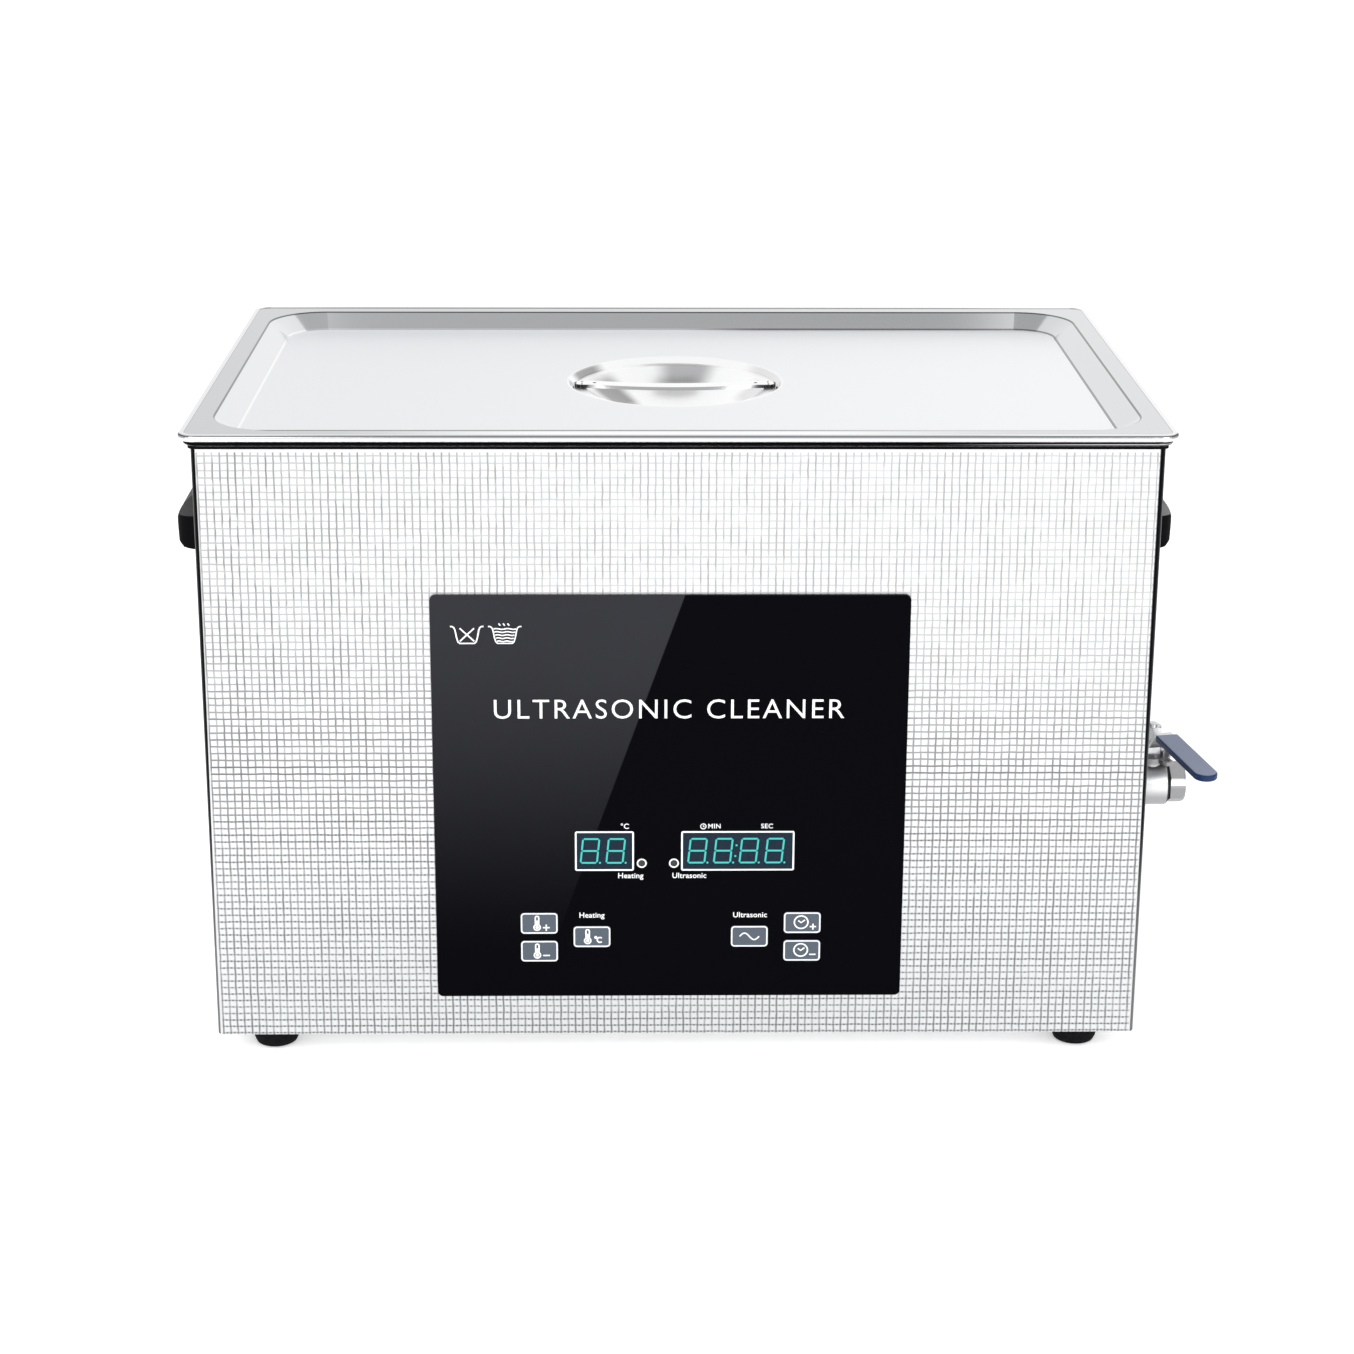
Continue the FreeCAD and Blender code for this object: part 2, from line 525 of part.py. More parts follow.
def make_handles():
    half = HANDLE_L / 2
    outer = handle_section(0, 0).extrude(vec(0, HANDLE_L, 0))
    outer.translate(vec(0, -half, 0))
    outer = outer.common(rect_prism(2 * HANDLE_REACH, HANDLE_L, 9.0, -1, HANDLE_H + 1))
    hollow = handle_section(HANDLE_WALL, -1).extrude(vec(0, HANDLE_L - 2 * HANDLE_CHEEK, 0))
    hollow.translate(vec(0, -half + HANDLE_CHEEK, 0))
    flange = block(0, HANDLE_FLANGE_T, -half - 1.0, half + 1.0, -1.5, HANDLE_H + 1.5)
    screw_ys = (-HANDLE_SCREW_Y, HANDLE_SCREW_Y)
    bosses = [rod(HANDLE_BOSS_R, vec(0, y, HANDLE_SCREW_Z), X, HANDLE_BOSS_L) for y in screw_ys]
    bores = [rod(HANDLE_SCREW_R, vec(-1, y, HANDLE_SCREW_Z), X, HANDLE_BOSS_L - 3)
             for y in screw_ys]
    handle = cut(fuse([outer.cut(hollow), flange] + bosses), bores)
    for name, side, turn in (("handle_right", 1, 0), ("handle_left", -1, 180)):
        placed = handle.copy()
        placed.rotate(vec(0, 0, 0), Z, turn)
        placed.translate(vec(side * SIDE_X, 0, CASING_Z + HANDLE_RISE))
        node(name, placed)
    grip_length = HANDLE_BOSS_L - 6
    node("handle_screws", [pan_screw(vec(side * (SIDE_X + grip_length), y, z), vec(-side, 0, 0),
                                     grip_length + SHEET, HANDLE_SCREW_R, 4.6)
                           for side, y, z in handle_screw_places()])


# ---------------------------------------------------------------- controls
def make_controls():
    x, z = panel_xz(0, OVERLAY_H / 2)
    overlay = upright_plate(x, z, OVERLAY_W, OVERLAY_H, OVERLAY_R, OVERLAY_FACE, FRONT_Y)
    node("control_overlay", cut(overlay, front_openings(OVERLAY_FACE - 1, FRONT_Y + 1, 0.0)))
    make_displays()
    make_keys()
    make_control_board()


def make_displays():
    for name, (right, height, width, tall) in DISPLAYS.items():
        x, z = panel_xz(right, height)
        node(name, upright_plate(x, z, width - 0.4, tall - 0.4, 0.4,
                                 OVERLAY_FACE + 0.3, BOARD_FRONT))
    lamps = []
    face_y, flange_t = OVERLAY_FACE + 0.2, 2.0
    for right, height in LEDS:
        x, z = panel_xz(right, height)
        lens = rod(LED_R - 0.1, vec(x, face_y, z), Y, BOARD_FRONT - face_y)
        flange = rod(LED_R + 1.0, vec(x, BOARD_FRONT - flange_t, z), Y, flange_t)
        lamps.append(fuse([lens, flange]))
    node("indicator_leds", lamps)


def make_keys():
    """Each key is a cap with a plunger that stops just short of its switch."""
    face_y = OVERLAY_FACE - KEY_PROUD
    button_y = BOARD_FRONT - SWITCH_H - SWITCH_BUTTON_H
    half = SWITCH_SIZE / 2
    switches = []
    for name, (right, height) in KEYS.items():
        x, z = panel_xz(right, height)
        cap = upright_plate(x, z, KEY_W - 2 * KEY_GAP, KEY_H - 2 * KEY_GAP, KEY_R - KEY_GAP,
                            face_y, FRONT_Y + SHEET)
        cap = cap.makeFillet(0.3, [edge for edge in cap.Edges
                                   if abs(edge.BoundBox.YMax - face_y) < 1e-6])
        plunger = rod(2.0, vec(x, FRONT_Y + SHEET, z), Y,
                      button_y - KEY_PROUD - KEY_SLACK - FRONT_Y - SHEET)
        node(name, fuse([cap, plunger]))
        base = block(x - half, x + half, BOARD_FRONT - SWITCH_H, BOARD_FRONT, z - half, z + half)
        button = rod(1.7, vec(x, button_y, z), Y, SWITCH_BUTTON_H + 0.2)
        switches.append(fuse([base, button]))
    node("key_switches", switches)


def board_corners(a0, a1, b0, b1):
    inset = BOARD_HOLE_INSET
    return [(a, b) for a in (a0 + inset, a1 - inset) for b in (b0 + inset, b1 - inset)]


def make_control_board():
    x0, x1 = OVERLAY_CX - 100.0, OVERLAY_CX + 100.0
    z0, z1 = OVERLAY_Z + 10.0, OVERLAY_Z + 106.0
    back = BOARD_FRONT + BOARD_T
    corners = board_corners(x0, x1, z0, z1)
    board = block(x0, x1, BOARD_FRONT, back, z0, z1)
    board = cut(board, [rod(BOARD_HOLE_R, vec(x, BOARD_FRONT - 1, z), Y, 4) for x, z in corners])
    chip = block(-30, -2, back, back + 3, z0 + 40, z0 + 50)
    plug = block(50, 78, back, back + 9, z0 + 12, z0 + 20)
    node("control_board", fuse([board, chip, plug]))
    wall_y, tray_z = FRONT_Y + SHEET, CASING_Z + 1.2
    spacers = [tube(3.0, BOARD_HOLE_R - 0.1, vec(x, wall_y, z), Y, BOARD_FRONT - wall_y)
               for x, z in corners]
    spacers += [tube(3.5, BOARD_HOLE_R - 0.1, vec(x, y, tray_z), Z, GENERATOR_Z - tray_z)
                for x, y in board_corners(*GENERATOR_BOX)]
    node("board_standoffs", spacers)


# ---------------------------------------------------------------- generator
def make_generator():
    x0, x1, y0, y1 = GENERATOR_BOX
    z = GENERATOR_Z + BOARD_T
    board = block(x0, x1, y0, y1, GENERATOR_Z, z)
    node("generator_board", cut(board, [rod(BOARD_HOLE_R, vec(x, y, GENERATOR_Z - 1), Z, 4)
                                        for x, y in board_corners(*GENERATOR_BOX)]))

    fins, fin_t, sink_l, base_t, sink_h = 9, 2.0, 100.0, 6.0, 38.0
    sink_x, sink_y0, sink_y1 = x0 + 20, y1 - 40, y1 - 12
    sink = [block(sink_x, sink_x + sink_l, sink_y0, sink_y1, z, z + base_t)]
    for number in range(fins):
        fin_x = sink_x + number * (sink_l - fin_t) / (fins - 1)
        sink.append(block(fin_x, fin_x + fin_t, sink_y0, sink_y1, z + base_t, z + sink_h))
    node("heat_sink", fuse(sink))

    core_x, core_y, core_w, core_d, limb = x1 - 60, y0 + 16, 40.0, 34.0, 8.0
    core = block(core_x, core_x + core_w, core_y, core_y + core_d, z, z + 4 * limb)
    windows = [block(x, x + limb, core_y - 6, core_y + core_d + 10, z + limb, z + 3 * limb)
               for x in (core_x + limb, core_x + 3 * limb)]
    coil = block(core_x + limb, core_x + 4 * limb, core_y - 5, core_y + core_d + 5,
                 z + limb + 0.2, z + 3 * limb - 0.2)
    node("output_transformer", fuse([cut(core, windows), coil]))

    can_r, can_h, can_pitch = 10.0, 34.0, 26.0
    node("filter_capacitors", [rod(can_r, vec(x0 + 26 + number * can_pitch, y0 + 24, z), Z, can_h)
                               for number in range(3)])


# ---------------------------------------------------------------- transducers and heating
def make_transducers():
    """Ten bolted stacks under the tank: horn, two ceramic rings with electrodes, back mass."""
    horns, rings, plates, masses, bolts = [], [], [], [], []
    ring_bore, mass_bore, tag_w, tag_l = 8.0, 4.6, 6.0, 8.0
    for x in TRANSDUCER_XS:
        for y in TRANSDUCER_YS:
            horn_z = TANK_UNDER - HORN_H
            horn = Part.makeCone(HORN_R, PIEZO_R, HORN_H, vec(x, y, TANK_UNDER), DOWN)
            horns.append(horn.cut(rod(BOLT_R + 0.05, vec(x, y, horn_z), Z, BOLT_GRIP + 1)))
            bottom = horn_z
            for _ in range(2):
                bottom -= PIEZO_T
                rings.append(tube(PIEZO_R, ring_bore, vec(x, y, bottom), Z, PIEZO_T))
                bottom -= ELECTRODE_T
                plate = tube(PIEZO_R, ring_bore, vec(x, y, bottom), Z, ELECTRODE_T)
                tag = block(x + PIEZO_R - 1, x + PIEZO_R + tag_l, y - tag_w / 2, y + tag_w / 2,
                            bottom, bottom + ELECTRODE_T)
                plates.append(fuse([plate, tag]))
            bottom -= BACK_MASS_H
            masses.append(tube(PIEZO_R, mass_bore, vec(x, y, bottom), Z, BACK_MASS_H))
            shank = rod(BOLT_R, vec(x, y, bottom), Z, horn_z - bottom + BOLT_GRIP)
            bolts.append(fuse([shank, hexagon(BOLT_HEAD_AF, vec(x, y, bottom), DOWN, BOLT_HEAD_H)]))
    node("transducer_front_masses", horns)
    node("piezo_rings", rings)
    node("electrode_plates", plates)
    node("transducer_back_masses", masses)
    node("transducer_bolts", bolts)


def make_heating():
    wall_y = TANK_D / 2 + TANK_T
    pad_l, pad_h, pad_t = 320.0, 60.0, 2.0
    z = TANK_FLOOR + 25.0
    node("heater_pads", [block(-pad_l / 2, pad_l / 2, y, y + pad_t, z, z + pad_h)
                         for y in (-wall_y - pad_t, wall_y)])
    sensor_x, disc_t, body_l = 40.0, 3.0, 10.5
    node("temperature_sensor", fuse([
        rod(8.0, vec(sensor_x, 0, TANK_UNDER), DOWN, disc_t),
        rod(5.0, vec(sensor_x, 0, TANK_UNDER - disc_t + 0.5), DOWN, body_l)]))


# ---------------------------------------------------------------- fan
def fan_screw_places():
    z = CASING_Z + FAN_RISE
    pitch = FAN_SCREW_PITCH / 2
    return [(FAN_X + sx * pitch, z + sz * pitch) for sx in (-1, 1) for sz in (-1, 1)]


def make_fan():
    z = CASING_Z + FAN_RISE
    y1 = REAR_Y - 2 * SHEET
    y0 = y1 - FAN_T
    centre = vec(FAN_X, y0, z)
    spoke_w, spoke_t, motor_r, bush_r, bush_l = 4.0, 3.0, 18.0, 11.0, 13.0
    frame = upright_plate(FAN_X, z, FAN_SIZE, FAN_SIZE, 4.0, y0, y1)
    duct = rod(FAN_BORE_R, vec(FAN_X, y0 - 1, z), Y, FAN_T + 2)
    screw_holes = [rod(SCREW_R + 0.2, vec(x, y0 - 1, sz), Y, FAN_T + 2)
                   for x, sz in fan_screw_places()]
    frame = cut(frame, [duct] + screw_holes)
    spokes = []
    for number in range(4):
        spoke = block(-spoke_w / 2, spoke_w / 2, 0, spoke_t, bush_r - 3, FAN_SIZE / 2 - 1.0)
        spoke.rotate(vec(0, 0, 0), Y, 45 + 90 * number)
        spoke.translate(centre)
        spokes.append(spoke)
    motor = fuse([rod(motor_r, centre, Y, spoke_t), rod(bush_r, centre, Y, bush_l)])
    bearing = rod(FAN_SHAFT_R + SHAFT_GAP, vec(FAN_X, y0 - 1, z), Y, bush_l + 7)
    node("fan_frame", cut(fuse([frame, motor] + spokes), [bearing]))
    make_rotor(centre)
    make_guard(z)


def make_rotor(centre):
    """The fan's wheel: a cup over the bush, its shaft, and slanted blades."""
    hub_r, hub_l, hub_wall, tip_r = 17.0, 15.0, 2.5, FAN_BORE_R - 1.5
    blades_n, blade_w, blade_t, blade_turn = 7, 19.0, 1.6, 38.0
    hub = centre + vec(0, 4.0, 0)
    cup = rod(hub_r, hub, Y, hub_l).cut(rod(hub_r - hub_wall, hub - Y, Y, hub_l - 1))
    shaft = rod(FAN_SHAFT_R, centre + Y, Y, 17.0)
    swept = tube(tip_r, hub_r - 1.5, hub, Y, hub_l)
    blades = []
    for number in range(blades_n):
        blade = block(-blade_w / 2, blade_w / 2, -blade_t / 2, blade_t / 2, hub_r - 1, tip_r)
        blade.rotate(vec(0, 0, 0), Z, blade_turn)
        blade.rotate(vec(0, 0, 0), Y, number * 360 / blades_n)
        blade.translate(hub + vec(0, hub_l / 2, 0))
        blades.append(blade.common(swept))
    node("fan_rotor", fuse([cup, shaft] + blades))


def make_guard(z):
    """Wire rings welded on four arms that end in screw eyes."""
    wire_r, eye_r = 0.9, 4.2
    arm_l = FAN_SCREW_PITCH / math.sqrt(2)
    guard_y = REAR_Y - SHEET + wire_r
    guard = [Part.makeTorus(radius, wire_r, vec(FAN_X, guard_y + wire_r * 1.3, z), Y)
             for radius in (10.0, 18.0, 26.0, 34.0)]
    for number in range(4):
        bar = rod(wire_r, vec(0, 0, 0), Z, arm_l)
        eye = tube(eye_r, SCREW_R + 0.2, vec(0, -wire_r, arm_l), Y, 2 * wire_r)
        bar = bar.cut(rod(SCREW_R + 0.2, vec(0, -5, arm_l), Y, 10))
        arm = fuse([bar, eye])
        arm.rotate(vec(0, 0, 0), Y, 45 + 90 * number)
        arm.translate(vec(FAN_X, guard_y, z))
        guard.append(arm)
    node("fan_guard", fuse(guard))


# ---------------------------------------------------------------- mains inlet
def make_inlet():
    """Mains inlet module: socket below, fuse drawer in the middle, rocker switch on top."""
    z = CASING_Z + INLET_RISE
    panel_y = REAR_Y - SHEET
    face_y = panel_y + 3.0
    back_y = panel_y - SHEET - 25.0
    socket_z, drawer_z, rocker_z = z - 14.0, z + 5.0, z + 20.5
    flange = upright_plate(INLET_X, z, INLET_W, INLET_H, 4.0, panel_y, face_y)
    body = block(INLET_X - INLET_BODY_W / 2, INLET_X + INLET_BODY_W / 2, back_y, panel_y,
                 z - INLET_BODY_H / 2, z + INLET_BODY_H / 2)
    socket = upright_plate(INLET_X, socket_z, 24.5, 16.5, 2.5, face_y - 17.0, face_y + 1)
    drawer_slot = block(INLET_X - 12.3, INLET_X + 12.3, face_y - 21.0, face_y + 1,
                        drawer_z - 4.8, drawer_z + 4.8)
    rocker_well = block(INLET_X - 10.2, INLET_X + 10.2, face_y - 11.0, face_y + 1,
                        rocker_z - 7.0, rocker_z + 7.0)
    pivot = vec(INLET_X, face_y - 3.0, rocker_z)
    pivot_bore = rod(1.0 + SHAFT_GAP, pivot - Z * 8.5, Z, 17.0)
    pins = []
    for right, up in ((-7.0, -1.8), (7.0, -1.8), (0.0, 2.2)):
        x, pin_z = INLET_X + right, socket_z + up
        pins.append(block(x - 1.0, x + 1.0, back_y - 8.0, face_y - 3.5, pin_z - 2.0, pin_z + 2.0))
    node("inlet_pins", pins)
    node("inlet_housing", cut(fuse([flange, body]),
                              [socket, drawer_slot, rocker_well, pivot_bore] + pins))
    make_fuse_drawer(face_y, drawer_z)
    make_rocker(pivot)


def make_fuse_drawer(face_y, drawer_z):
    drawer = block(INLET_X - 12.0, INLET_X + 12.0, face_y - 20.0, face_y + 0.6,
                   drawer_z - 4.5, drawer_z + 4.5)
    cradle = block(INLET_X - 10.4, INLET_X + 10.4, face_y - 18.0, face_y - 11.0,
                   drawer_z - 2.2, drawer_z + 6)
    finger_notch = block(INLET_X - 4.0, INLET_X + 4.0, face_y - 1.0, face_y + 1,
                         drawer_z - 5.0, drawer_z - 2.0)
    node("fuse_drawer", cut(drawer, [cradle, finger_notch]))
    fuse_l, cap_l = 20.0, 5.0
    start = vec(INLET_X - fuse_l / 2, face_y - 14.5, drawer_z + 0.4)
    caps = [rod(2.6, start, X, cap_l), rod(2.6, start + X * (fuse_l - cap_l), X, cap_l)]
    node("mains_fuse", fuse([rod(2.3, start, X, fuse_l)] + caps))


def make_rocker(pivot):
    """The switch's rocker on its pin, drawn in its off position."""
    half_w, height, pin_l = 9.2, 13.0, 16.4
    outline = [vec(-half_w, -4.0, 0), vec(half_w, -4.0, 0), vec(half_w, 3.4, 0), vec(0, 1.9, 0),
               vec(-half_w, 3.4, 0), vec(-half_w, -4.0, 0)]
    rocker = Part.Face(Part.makePolygon(outline)).extrude(vec(0, 0, height))
    rocker.translate(vec(0, 0, -height / 2))
    rocker = fuse([rocker, rod(1.0, vec(0, 0, -pin_l / 2), Z, pin_l)])
    rocker.rotate(vec(0, 0, 0), Z, -ROCKER_THROW / 2)
    rocker.translate(pivot)
    node("power_rocker", rocker)


# ---------------------------------------------------------------- drain and valve
def make_drain():
    """Elbow under the tank, pipe through the casing wall, and its two locknuts."""
    bend_start = DRAIN_Z + ELBOW_BEND_R
    bend_end_x = DRAIN_TANK_X + ELBOW_BEND_R
    elbow_run, boss_r, boss_h, nut_af, nut_h = 6.0, 14.0, 4.0, 24.0, 5.0

    def elbow(radius):
        drop = rod(radius, vec(DRAIN_TANK_X, 0, bend_start), Z, TANK_UNDER - bend_start)
        circle = Part.Face(Part.Wire(Part.makeCircle(radius, vec(DRAIN_TANK_X, 0, bend_start), Z)))
        bend = circle.revolve(vec(bend_end_x, 0, bend_start), vec(0, -1, 0), 90)
        run = rod(radius, vec(bend_end_x, 0, DRAIN_Z), X, elbow_run)
        return fuse([drop, bend, run])

    boss = rod(boss_r, vec(DRAIN_TANK_X, 0, TANK_UNDER), DOWN, boss_h)
    node("drain_elbow", cut(fuse([elbow(PIPE_R), boss]), [elbow(PIPE_BORE_R)]))

    pipe_start = bend_end_x + elbow_run
    node("drain_pipe", tube(PIPE_R, PIPE_BORE_R, vec(pipe_start, 0, DRAIN_Z), X,
                            PIPE_END_X - pipe_start))
    bore = rod(PIPE_R, vec(SIDE_X - 10, 0, DRAIN_Z), X, 20)
    node("drain_locknuts", [hexagon(nut_af, vec(start, 0, DRAIN_Z), X, nut_h).cut(bore)
                            for start in (SIDE_X - SHEET - nut_h, SIDE_X)])


def valve_spin(points):
    """A part turned about the valve's flow axis, from (x, radius) points."""
    solid = spin([vec(x, 0, radius) for x, radius in points], vec(0, 0, 0), X)
    solid.translate(vec(0, 0, DRAIN_Z))
    return solid


def at_stem(shape, degrees=0.0):
    """Turn a piece drawn about the Z axis and set it on the valve's stem axis."""
    placed = shape.copy()
    placed.rotate(vec(0, 0, 0), Z, degrees)
    placed.translate(vec(VALVE_X, 0, DRAIN_Z))
    return placed


def make_valve():
    """Ball valve: body, screwed end cap, seats, and the gland nut round the stem."""
    chamber_x0, chamber_x1 = VALVE_X - 9.5, VALVE_X + 9.5
    chamber_r, thread_r, seat_l = 9.0, 11.0, 3.2
    make_valve_body(chamber_x0, chamber_x1, chamber_r, thread_r)

    spigot = tube(thread_r, chamber_r - SHAFT_GAP, vec(chamber_x1 - 2.6, 0, DRAIN_Z), X, 2.6)
    web = rod(thread_r, vec(chamber_x1, 0, DRAIN_Z), X, CAP_X + 0.6 - chamber_x1)
    hex_end = chamfered_hexagon(23.0, vec(CAP_X + 0.4, 0, DRAIN_Z), X, OUTLET_X - CAP_X - 0.4)
    port = rod(PORT_R, vec(chamber_x1 - 1, 0, DRAIN_Z), X, 30)
    outlet = rod(OUTLET_R, vec(OUTLET_X - OUTLET_L, 0, DRAIN_Z), X, 20)
    node("valve_end_cap", cut(fuse([spigot, web, hex_end]), [port, outlet]))

    ball_room = Part.makeSphere(BALL_R + SEAT_GAP, vec(VALVE_X, 0, DRAIN_Z))
    node("ball_seats", [tube(chamber_r - 2 * SHAFT_GAP, PORT_R, vec(start, 0, DRAIN_Z), X,
                             seat_l).cut(ball_room)
                        for start in (chamber_x0, chamber_x1 - seat_l)])

    gland = hexagon(13.0, vec(0, 0, NECK_TOP), Z, GLAND_TOP - NECK_TOP)
    node("gland_nut", at_stem(gland.cut(rod(STEM_R + SHAFT_GAP, vec(0, 0, 0), Z, 40))))
    make_lever()


def make_valve_body(chamber_x0, chamber_x1, chamber_r, thread_r):
    """Barrel, hexagon at the inlet, stem neck with its plate, two stop lugs and a locking ear."""
    start = VALVE_INLET_X
    plate_low, plate_t, lug_top, ear_x = 16.4, 2.4, 25.2, 15.0
    barrel = valve_spin([(start + 8.0, 0), (start + 8.0, 11.5), (start + 11.5, 13.6),
                         (start + 15.0, 14.0), (CAP_X - 2.0, 14.0), (CAP_X - 0.8, 13.2),
                         (CAP_X - 0.8, 0)])
    end_hex = hexagon(24.0, vec(start, 0, DRAIN_Z), X, 10.0)
    neck = at_stem(rod(7.0, vec(0, 0, 6.0), Z, NECK_TOP - 6.0))
    plate = at_stem(rod(11.6, vec(0, 0, plate_low), Z, plate_t))
    lug = block(STOP_TAB_R - 1.6, STOP_TAB_R + 1.4, -2.0, 2.0, plate_low + 0.2, lug_top)
    lugs = [at_stem(lug, degrees) for degrees in (-24.0, 114.0)]
    ear = fuse([block(8.0, ear_x, -3.4, 3.4, plate_low, plate_low + plate_t),
                rod(3.4, vec(ear_x, 0, plate_low), Z, plate_t)])
    ear = at_stem(ear.cut(rod(1.7, vec(ear_x, 0, 10), Z, 12)), -62.0)
    stem_bore = at_stem(rod(STEM_R + SHAFT_GAP, vec(0, 0, 0), Z, 40))
    flow = rod(PORT_R, vec(start - 1, 0, DRAIN_Z), X, VALVE_X - start)
    pipe_bore = rod(PIPE_R, vec(start - 1, 0, DRAIN_Z), X, PIPE_END_X - start + 1)
    chamber = rod(chamber_r, vec(chamber_x0, 0, DRAIN_Z), X, 40)
    cap_bore = rod(thread_r + SHAFT_GAP, vec(chamber_x1 - 3.0, 0, DRAIN_Z), X, 40)
    node("valve_body", cut(fuse([barrel, end_hex, neck, plate, ear] + lugs),
                           [stem_bore, flow, pipe_bore, chamber, cap_bore]))


def bent_arm(half_width, raised_low):
    """The lever's arm along -Y: level at the hub, bent up, then level at raised_low."""
    far = -LEVER_L + half_width
    slope = math.atan2(LEVER_RISE, LEVER_BEND_OUT - LEVER_BEND_IN)
    knee = LEVER_T * math.tan(slope / 2)     # keeps the sheet's thickness through both bends
    low_line = [(0, LEVER_LOW), (-LEVER_BEND_IN, LEVER_LOW), (-LEVER_BEND_OUT, raised_low),
                (far, raised_low)]
    high_line = [(far, raised_low + LEVER_T), (-LEVER_BEND_OUT + knee, raised_low + LEVER_T),
                 (-LEVER_BEND_IN + knee, LEVER_LOW + LEVER_T), (0, LEVER_LOW + LEVER_T)]
    outline = [vec(-half_width, y, z) for y, z in low_line + high_line]
    side = Part.Face(Part.makePolygon(outline + [outline[0]]))
    return side.extrude(vec(2 * half_width, 0, 0))


def make_lever():
    """Ball, stem and lever turn together; drawn closed, with the lever along -Y."""
    ball_room = Part.makeSphere(BALL_R + SEAT_GAP, vec(0, 0, 0))
    slot_depth, tang_half, square_half = 2.6, 1.5, 2.6
    ball = Part.makeSphere(BALL_R, vec(0, 0, 0))
    slot = block(-8.0, 8.0, -tang_half, tang_half, BALL_R - slot_depth, BALL_R + 1)
    ball = cut(ball, [rod(PORT_R, vec(0, -20, 0), Y, 40), slot])
    node("valve_ball", at_stem(ball, LEVER_REST))

    tang = block(-3.2, 3.2, -tang_half, tang_half, BALL_R - slot_depth, BALL_R)
    shaft = rod(STEM_R, vec(0, 0, BALL_R - 0.4), Z, LEVER_LOW - BALL_R + 0.4).cut(ball_room)
    square = block(-square_half, square_half, -square_half, square_half,
                   LEVER_LOW, LEVER_LOW + LEVER_T)
    stud = rod(2.5, vec(0, 0, LEVER_LOW), Z, STEM_TOP - LEVER_LOW)
    node("valve_stem", at_stem(fuse([shaft, tang, square, stud]), LEVER_REST))

    half = LEVER_W / 2
    top = LEVER_LOW + LEVER_T
    tab_end = STOP_TAB_R + 1.6
    raised_low = LEVER_LOW + LEVER_RISE
    hub = rod(7.4, vec(0, 0, LEVER_LOW), Z, LEVER_T)
    arm = bent_arm(half, raised_low)
    end = rod(half, vec(0, -LEVER_L + half, raised_low), Z, LEVER_T)
    tab_top = block(0, tab_end, -STOP_TAB_HALF, STOP_TAB_HALF, LEVER_LOW, top)
    tab = block(STOP_TAB_R - 0.6, tab_end, -STOP_TAB_HALF, STOP_TAB_HALF, NECK_TOP, top)
    lever = fuse([hub, arm, end, tab_top, tab])
    node("lever", at_stem(lever.cut(square), LEVER_REST))

    low = raised_low + LEVER_T / 2 - GRIP_T / 2
    half = GRIP_W / 2
    sleeve = fuse([block(-half, half, -GRIP_END_L + half, -GRIP_START, low, low + GRIP_T),
                   rod(half, vec(0, -GRIP_END_L + half, low), Z, GRIP_T)])
    long_edges = [edge for edge in sleeve.Edges
                  if edge.BoundBox.ZLength < 1e-6 and edge.BoundBox.YLength > 4.0]
    sleeve = sleeve.makeFillet(1.2, long_edges)
    node("lever_grip", at_stem(cut(sleeve, [arm, end]), LEVER_REST))

    nut = chamfered_hexagon(10.0, vec(0, 0, top), Z, 9.2)
    nut = nut.cut(rod(2.5, vec(0, 0, 0), Z, 60))
    node("lever_nut", at_stem(nut, LEVER_REST + 12.0))


# ---------------------------------------------------------------- write one file per node
def main():
    make_casing()
    make_rear_panel()
    make_base_plate()
    make_feet()
    make_tank()
    make_lid()
    make_lid_handle()
    make_handles()
    make_controls()
    make_generator()
    make_transducers()
    make_heating()
    make_fan()
    make_inlet()
    make_drain()
    make_valve()
    os.makedirs("parts", exist_ok=True)
    for name, shapes in NODES.items():
        solids = [solid for shape in shapes for solid in shape.Solids]
        shape = solids[0] if len(solids) == 1 else Part.makeCompound(solids)
        shape.exportStep("parts/" + name + ".step")
        box = shape.BoundBox
        print("%-26s solids %3d valid %s volume %9.1f  x %.1f..%.1f y %.1f..%.1f z %.1f..%.1f" % (
            name, len(solids), shape.isValid(), shape.Volume,
            box.XMin, box.XMax, box.YMin, box.YMax, box.ZMin, box.ZMax))
    print(len(NODES), "nodes")


main()
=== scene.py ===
"""Looks of the ultrasonic cleaner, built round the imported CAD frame.

Metres, in the frame's own axes: the control panel faces -Y, the drain valve is on +X.
Prints on the panel are given in millimetres right of its centre and above its lower edge.
"""
import json
import math

import bpy
from mathutils import Matrix, Vector


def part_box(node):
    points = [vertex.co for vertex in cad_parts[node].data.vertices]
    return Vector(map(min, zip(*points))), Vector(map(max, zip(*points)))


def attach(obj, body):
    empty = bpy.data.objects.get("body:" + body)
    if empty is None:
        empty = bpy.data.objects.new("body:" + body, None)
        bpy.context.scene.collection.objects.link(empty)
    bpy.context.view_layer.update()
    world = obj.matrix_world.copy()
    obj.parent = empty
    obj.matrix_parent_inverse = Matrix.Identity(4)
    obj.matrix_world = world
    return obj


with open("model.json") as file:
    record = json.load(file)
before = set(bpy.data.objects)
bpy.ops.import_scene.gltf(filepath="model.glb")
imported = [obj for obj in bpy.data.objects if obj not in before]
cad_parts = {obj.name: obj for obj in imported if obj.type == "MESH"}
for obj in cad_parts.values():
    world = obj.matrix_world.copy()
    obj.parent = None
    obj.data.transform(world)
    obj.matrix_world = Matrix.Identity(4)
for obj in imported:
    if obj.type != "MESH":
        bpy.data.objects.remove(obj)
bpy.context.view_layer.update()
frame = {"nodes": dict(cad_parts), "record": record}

MM = 0.001
NODES = frame["nodes"]
SLOT_OF = {entry["node"]: entry["material_slot"] for entry in frame["record"]["subparts"]}
MAIN_BODY = "cleaner"

